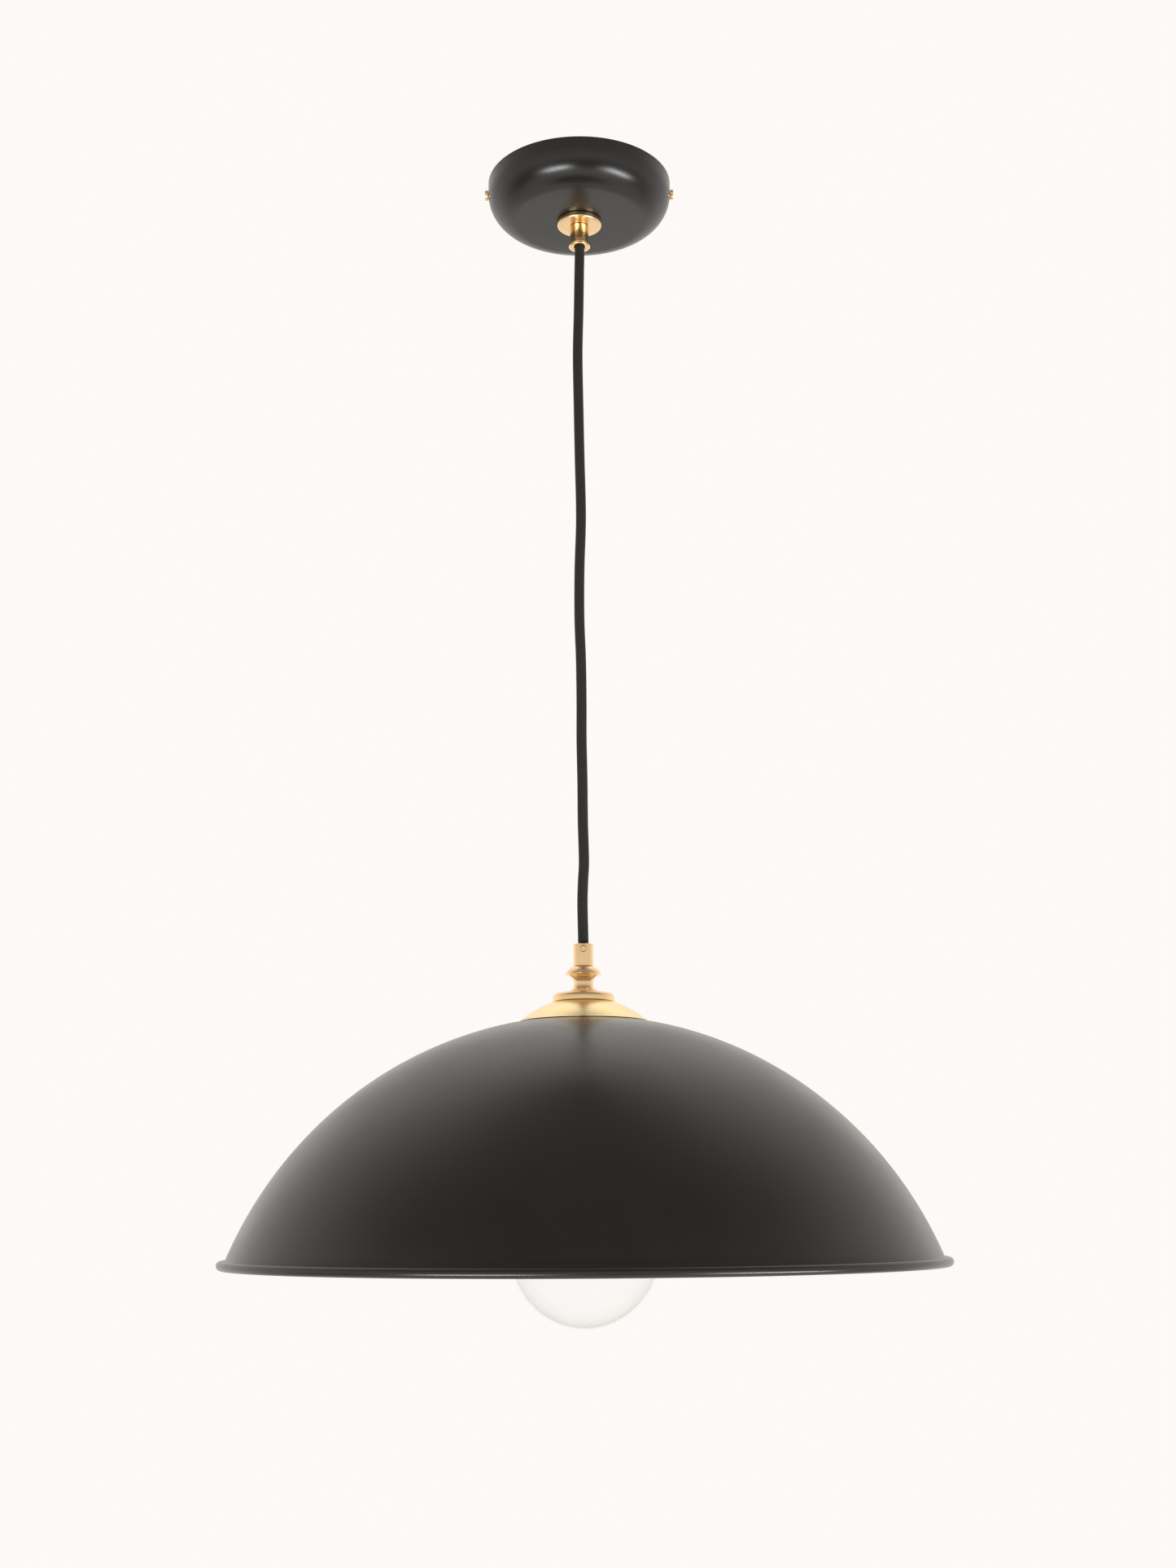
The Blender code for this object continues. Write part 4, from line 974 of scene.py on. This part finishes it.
def add_bulb_cap():
    """The bulb's screw cap, with its rolled thread."""
    low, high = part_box("bulb_screw_cap")
    radius, lip = high.x, CAP_LIP
    bottom, top = low.z - RIM_Z, high.z - RIM_Z
    shoulder = top - 0.0015
    rings = round((shoulder - bottom) / LAMP_RING_STEP)
    heights = [bottom + (shoulder - bottom) * i / rings for i in range(rings + 1)]
    outline = [(radius, z) for z in heights]
    outline += [(lip + 0.0006, top - 0.0001), (lip, top), (lip, top - SHEET)]
    outline += [(radius - SHEET, z - SHEET) for z in reversed(heights) if z - SHEET > bottom]
    outline += [(radius - SHEET, bottom)]

    def wave(angle, reach, z):
        if reach < radius - 2 * SHEET:
            return reach
        begun = ramp(z, LAMP_THREAD_START, LAMP_THREAD_START + LAMP_THREAD_RUN_IN)
        ended = ramp(z, LAMP_THREAD_END, LAMP_THREAD_END + LAMP_THREAD_RUN_OUT)
        return reach - LAMP_THREAD_DEPTH * begun * max(lamp_thread(angle, z), ended)

    dress(turned("bulb_screw_cap_rolled", outline, 96, RIM_Z, wave), "bulb_screw_cap")


def add_stem():
    """The glass stem, drawn in to its pinch."""
    low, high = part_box("bulb_stem")
    bottom, top = low.z - RIM_Z, high.z - RIM_Z
    stem = [(0.0085, top), (0.0085, top - 0.0012), (0.0060, top - 0.0060), (0.0046, top - 0.009)]
    stem += [(0.0038, bottom + 0.016), (0.0036, bottom + 0.008), (0.0042, bottom + 0.002), (0.0020, bottom)]
    outline = [(0, top)] + eased(stem, 0.0012, 5) + [(0, bottom)]
    dress(turned("bulb_stem_drawn", outline, 48, RIM_Z), "bulb_stem")


def add_leads():
    """The two wires from the stem's pinch to the ends of the filament."""
    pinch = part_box("bulb_stem")[0].z - RIM_Z
    for side, word in ((-1, "left"), (1, "right")):
        route = [(side * 0.0012, 0, pinch - 0.0003), (side * 0.0030, 0, pinch - 0.0055),
                 (side * 0.0085, 0, FILAMENT_HEIGHT + 0.0080),
                 (side * FILAMENT_CIRCLE, 0, FILAMENT_HEIGHT + 0.0009)]
        path = [(x, y, RIM_Z + z) for x, y, z in smooth_path(route, 8)]
        dress(sweep("bulb_lead_" + word + "_wire", path, LEAD_RADIUS), "bulb_lead_" + word)


def add_filament():
    """A fine coil that hangs in waves along a half circle."""
    points = FILAMENT_TURNS * FILAMENT_POINTS
    path = []
    for i in range(points + 1):
        share = i / points
        angle = math.pi * share
        rise = RIM_Z + FILAMENT_HEIGHT + FILAMENT_SAG * math.cos(6 * angle) - FILAMENT_SAG
        around = 2 * math.pi * FILAMENT_TURNS * share
        reach = FILAMENT_CIRCLE + FILAMENT_COIL * math.cos(around)
        place = (reach * math.cos(angle), reach * math.sin(angle), rise + FILAMENT_COIL * math.sin(around))
        path.append(place)
    dress(sweep("bulb_filament_coiled", path, FILAMENT_WIRE, 6), "bulb_filament")


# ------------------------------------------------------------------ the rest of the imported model

def dress_cad_nodes():
    """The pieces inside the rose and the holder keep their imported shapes, with full materials."""
    for name, item in frame["nodes"].items():
        if not item.hide_render:
            for place in item.material_slots:
                place.material = material(SLOTS[name])


# ------------------------------------------------------------------ studio

def add_camera():
    data = bpy.data.cameras.new("camera")
    data.sensor_width = SENSOR_MM
    data.lens = LENS_MM
    camera = add_object("camera", data)
    turn = Matrix.Rotation(CAMERA_YAW, 3, "Z") @ Matrix.Rotation(math.radians(90 + CAMERA_PITCH), 3, "X")
    turn = turn @ Matrix.Rotation(CAMERA_ROLL, 3, "Z")
    camera.rotation_euler = turn.to_euler()
    camera.location = CAMERA_PLACE
    bpy.context.scene.camera = camera


def add_window(name, place, size, power):
    """A soft rectangular light that faces the object."""
    data = bpy.data.lights.new(name, "AREA")
    data.shape = "RECTANGLE"
    data.size, data.size_y = size
    data.energy = power
    light = add_object(name, data)
    light.location = place
    light.rotation_euler = (Vector(WINDOW_TARGET) - Vector(place)).to_track_quat("-Z", "Y").to_euler()


def height_ramp(tree, height, stops):
    """Brightness by height, from straight down (-1) to straight up (1)."""
    node = add_node(tree, "ShaderNodeValToRGB")
    tree.links.new(height, node.inputs["Fac"])
    elements = node.color_ramp.elements
    while len(elements) < len(stops):
        elements.new(0.5)
    for element, (place, level) in zip(elements, stops):
        element.position = place / 2 + 0.5
        element.color = (level, level, level, 1)
    return node.outputs["Color"]


def room_level(tree):
    """The room's brightness by direction, from its dimmer front to its brighter back."""
    place = add_node(tree, "ShaderNodeTexCoord")
    split = add_node(tree, "ShaderNodeSeparateXYZ")
    tree.links.new(place.outputs["Generated"], split.inputs["Vector"])
    depth = add_node(tree, "ShaderNodeMapRange", interpolation_type="SMOOTHSTEP")
    depth.inputs["From Min"].default_value = FRONT_DEPTH
    depth.inputs["From Max"].default_value = BACK_DEPTH
    tree.links.new(split.outputs["Y"], depth.inputs["Value"])
    height = add_node(tree, "ShaderNodeMapRange")
    height.inputs["From Min"].default_value = -1.0
    tree.links.new(split.outputs["Z"], height.inputs["Value"])
    level = add_node(tree, "ShaderNodeMix", data_type="RGBA")
    tree.links.new(depth.outputs["Result"], level.inputs[0])
    for stops, socket in ((FRONT_LEVELS, MIX_FIRST), (BACK_LEVELS, MIX_SECOND)):
        tree.links.new(height_ramp(tree, height.outputs["Result"], stops), level.inputs[socket])
    return level.outputs[MIX_COLOUR]


def add_world():
    """A studio room that lights the object, and a plain backdrop that the camera sees."""
    world = bpy.data.worlds.new("studio")
    bpy.context.scene.world = world
    world.use_nodes = True
    tree = world.node_tree
    tree.nodes.clear()
    link = tree.links.new
    room = add_node(tree, "ShaderNodeBackground", Color=ROOM_COLOUR)
    link(room_level(tree), room.inputs["Strength"])
    backdrop = add_node(tree, "ShaderNodeBackground", Color=BACKDROP_COLOUR)
    path = add_node(tree, "ShaderNodeLightPath")
    shown = add_node(tree, "ShaderNodeMath", operation="MAXIMUM")
    link(path.outputs["Is Camera Ray"], shown.inputs[0])
    link(path.outputs["Is Transmission Ray"], shown.inputs[1])
    mix = add_node(tree, "ShaderNodeMixShader")
    link(shown.outputs["Value"], mix.inputs["Fac"])
    link(room.outputs["Background"], mix.inputs[1])
    link(backdrop.outputs["Background"], mix.inputs[2])
    output = add_node(tree, "ShaderNodeOutputWorld")
    link(mix.outputs["Shader"], output.inputs["Surface"])


def add_floor():
    """A pale round floor, a room's height below the ceiling."""
    form = bmesh.new()
    bmesh.ops.create_circle(form, cap_ends=True, segments=96, radius=FLOOR_RADIUS)
    mesh = bpy.data.meshes.new("floor")
    form.to_mesh(mesh)
    form.free()
    floor = add_object("floor", mesh)
    floor.location.z = FLOOR_Z
    made = Nodes("look_floor", roughness=0.8)
    made.vary_colour(made.noise(1.5), (0.88, 0.86, 0.84), (0.85, 0.83, 0.81))
    made.shader.inputs["Emission Color"].default_value = FLOOR_GLOW_COLOUR
    made.shader.inputs["Emission Strength"].default_value = FLOOR_GLOW
    floor.data.materials.append(made.material)


add_camera()
add_flex()
add_rose_cup()
add_rose_flange()
add_side_screw("rose_side_screw_left", -1)
add_side_screw("rose_side_screw_right", 1)
add_rose_grip()
add_shade()
add_cap()
add_disc()
add_coupler()
add_lamp_grip()
add_nipple()
add_nut("shade_locknut", RIM_Z)
add_nut("rose_locknut", 0.0)
add_holder_cap()
add_holder_skirt()
add_screw_shell()
add_globe()
add_bulb_cap()
add_stem()
add_leads()
add_filament()
dress_cad_nodes()
add_world()
add_floor()
for window in WINDOWS:
    add_window(*window)
bpy.context.scene.view_settings.view_transform = "Standard"
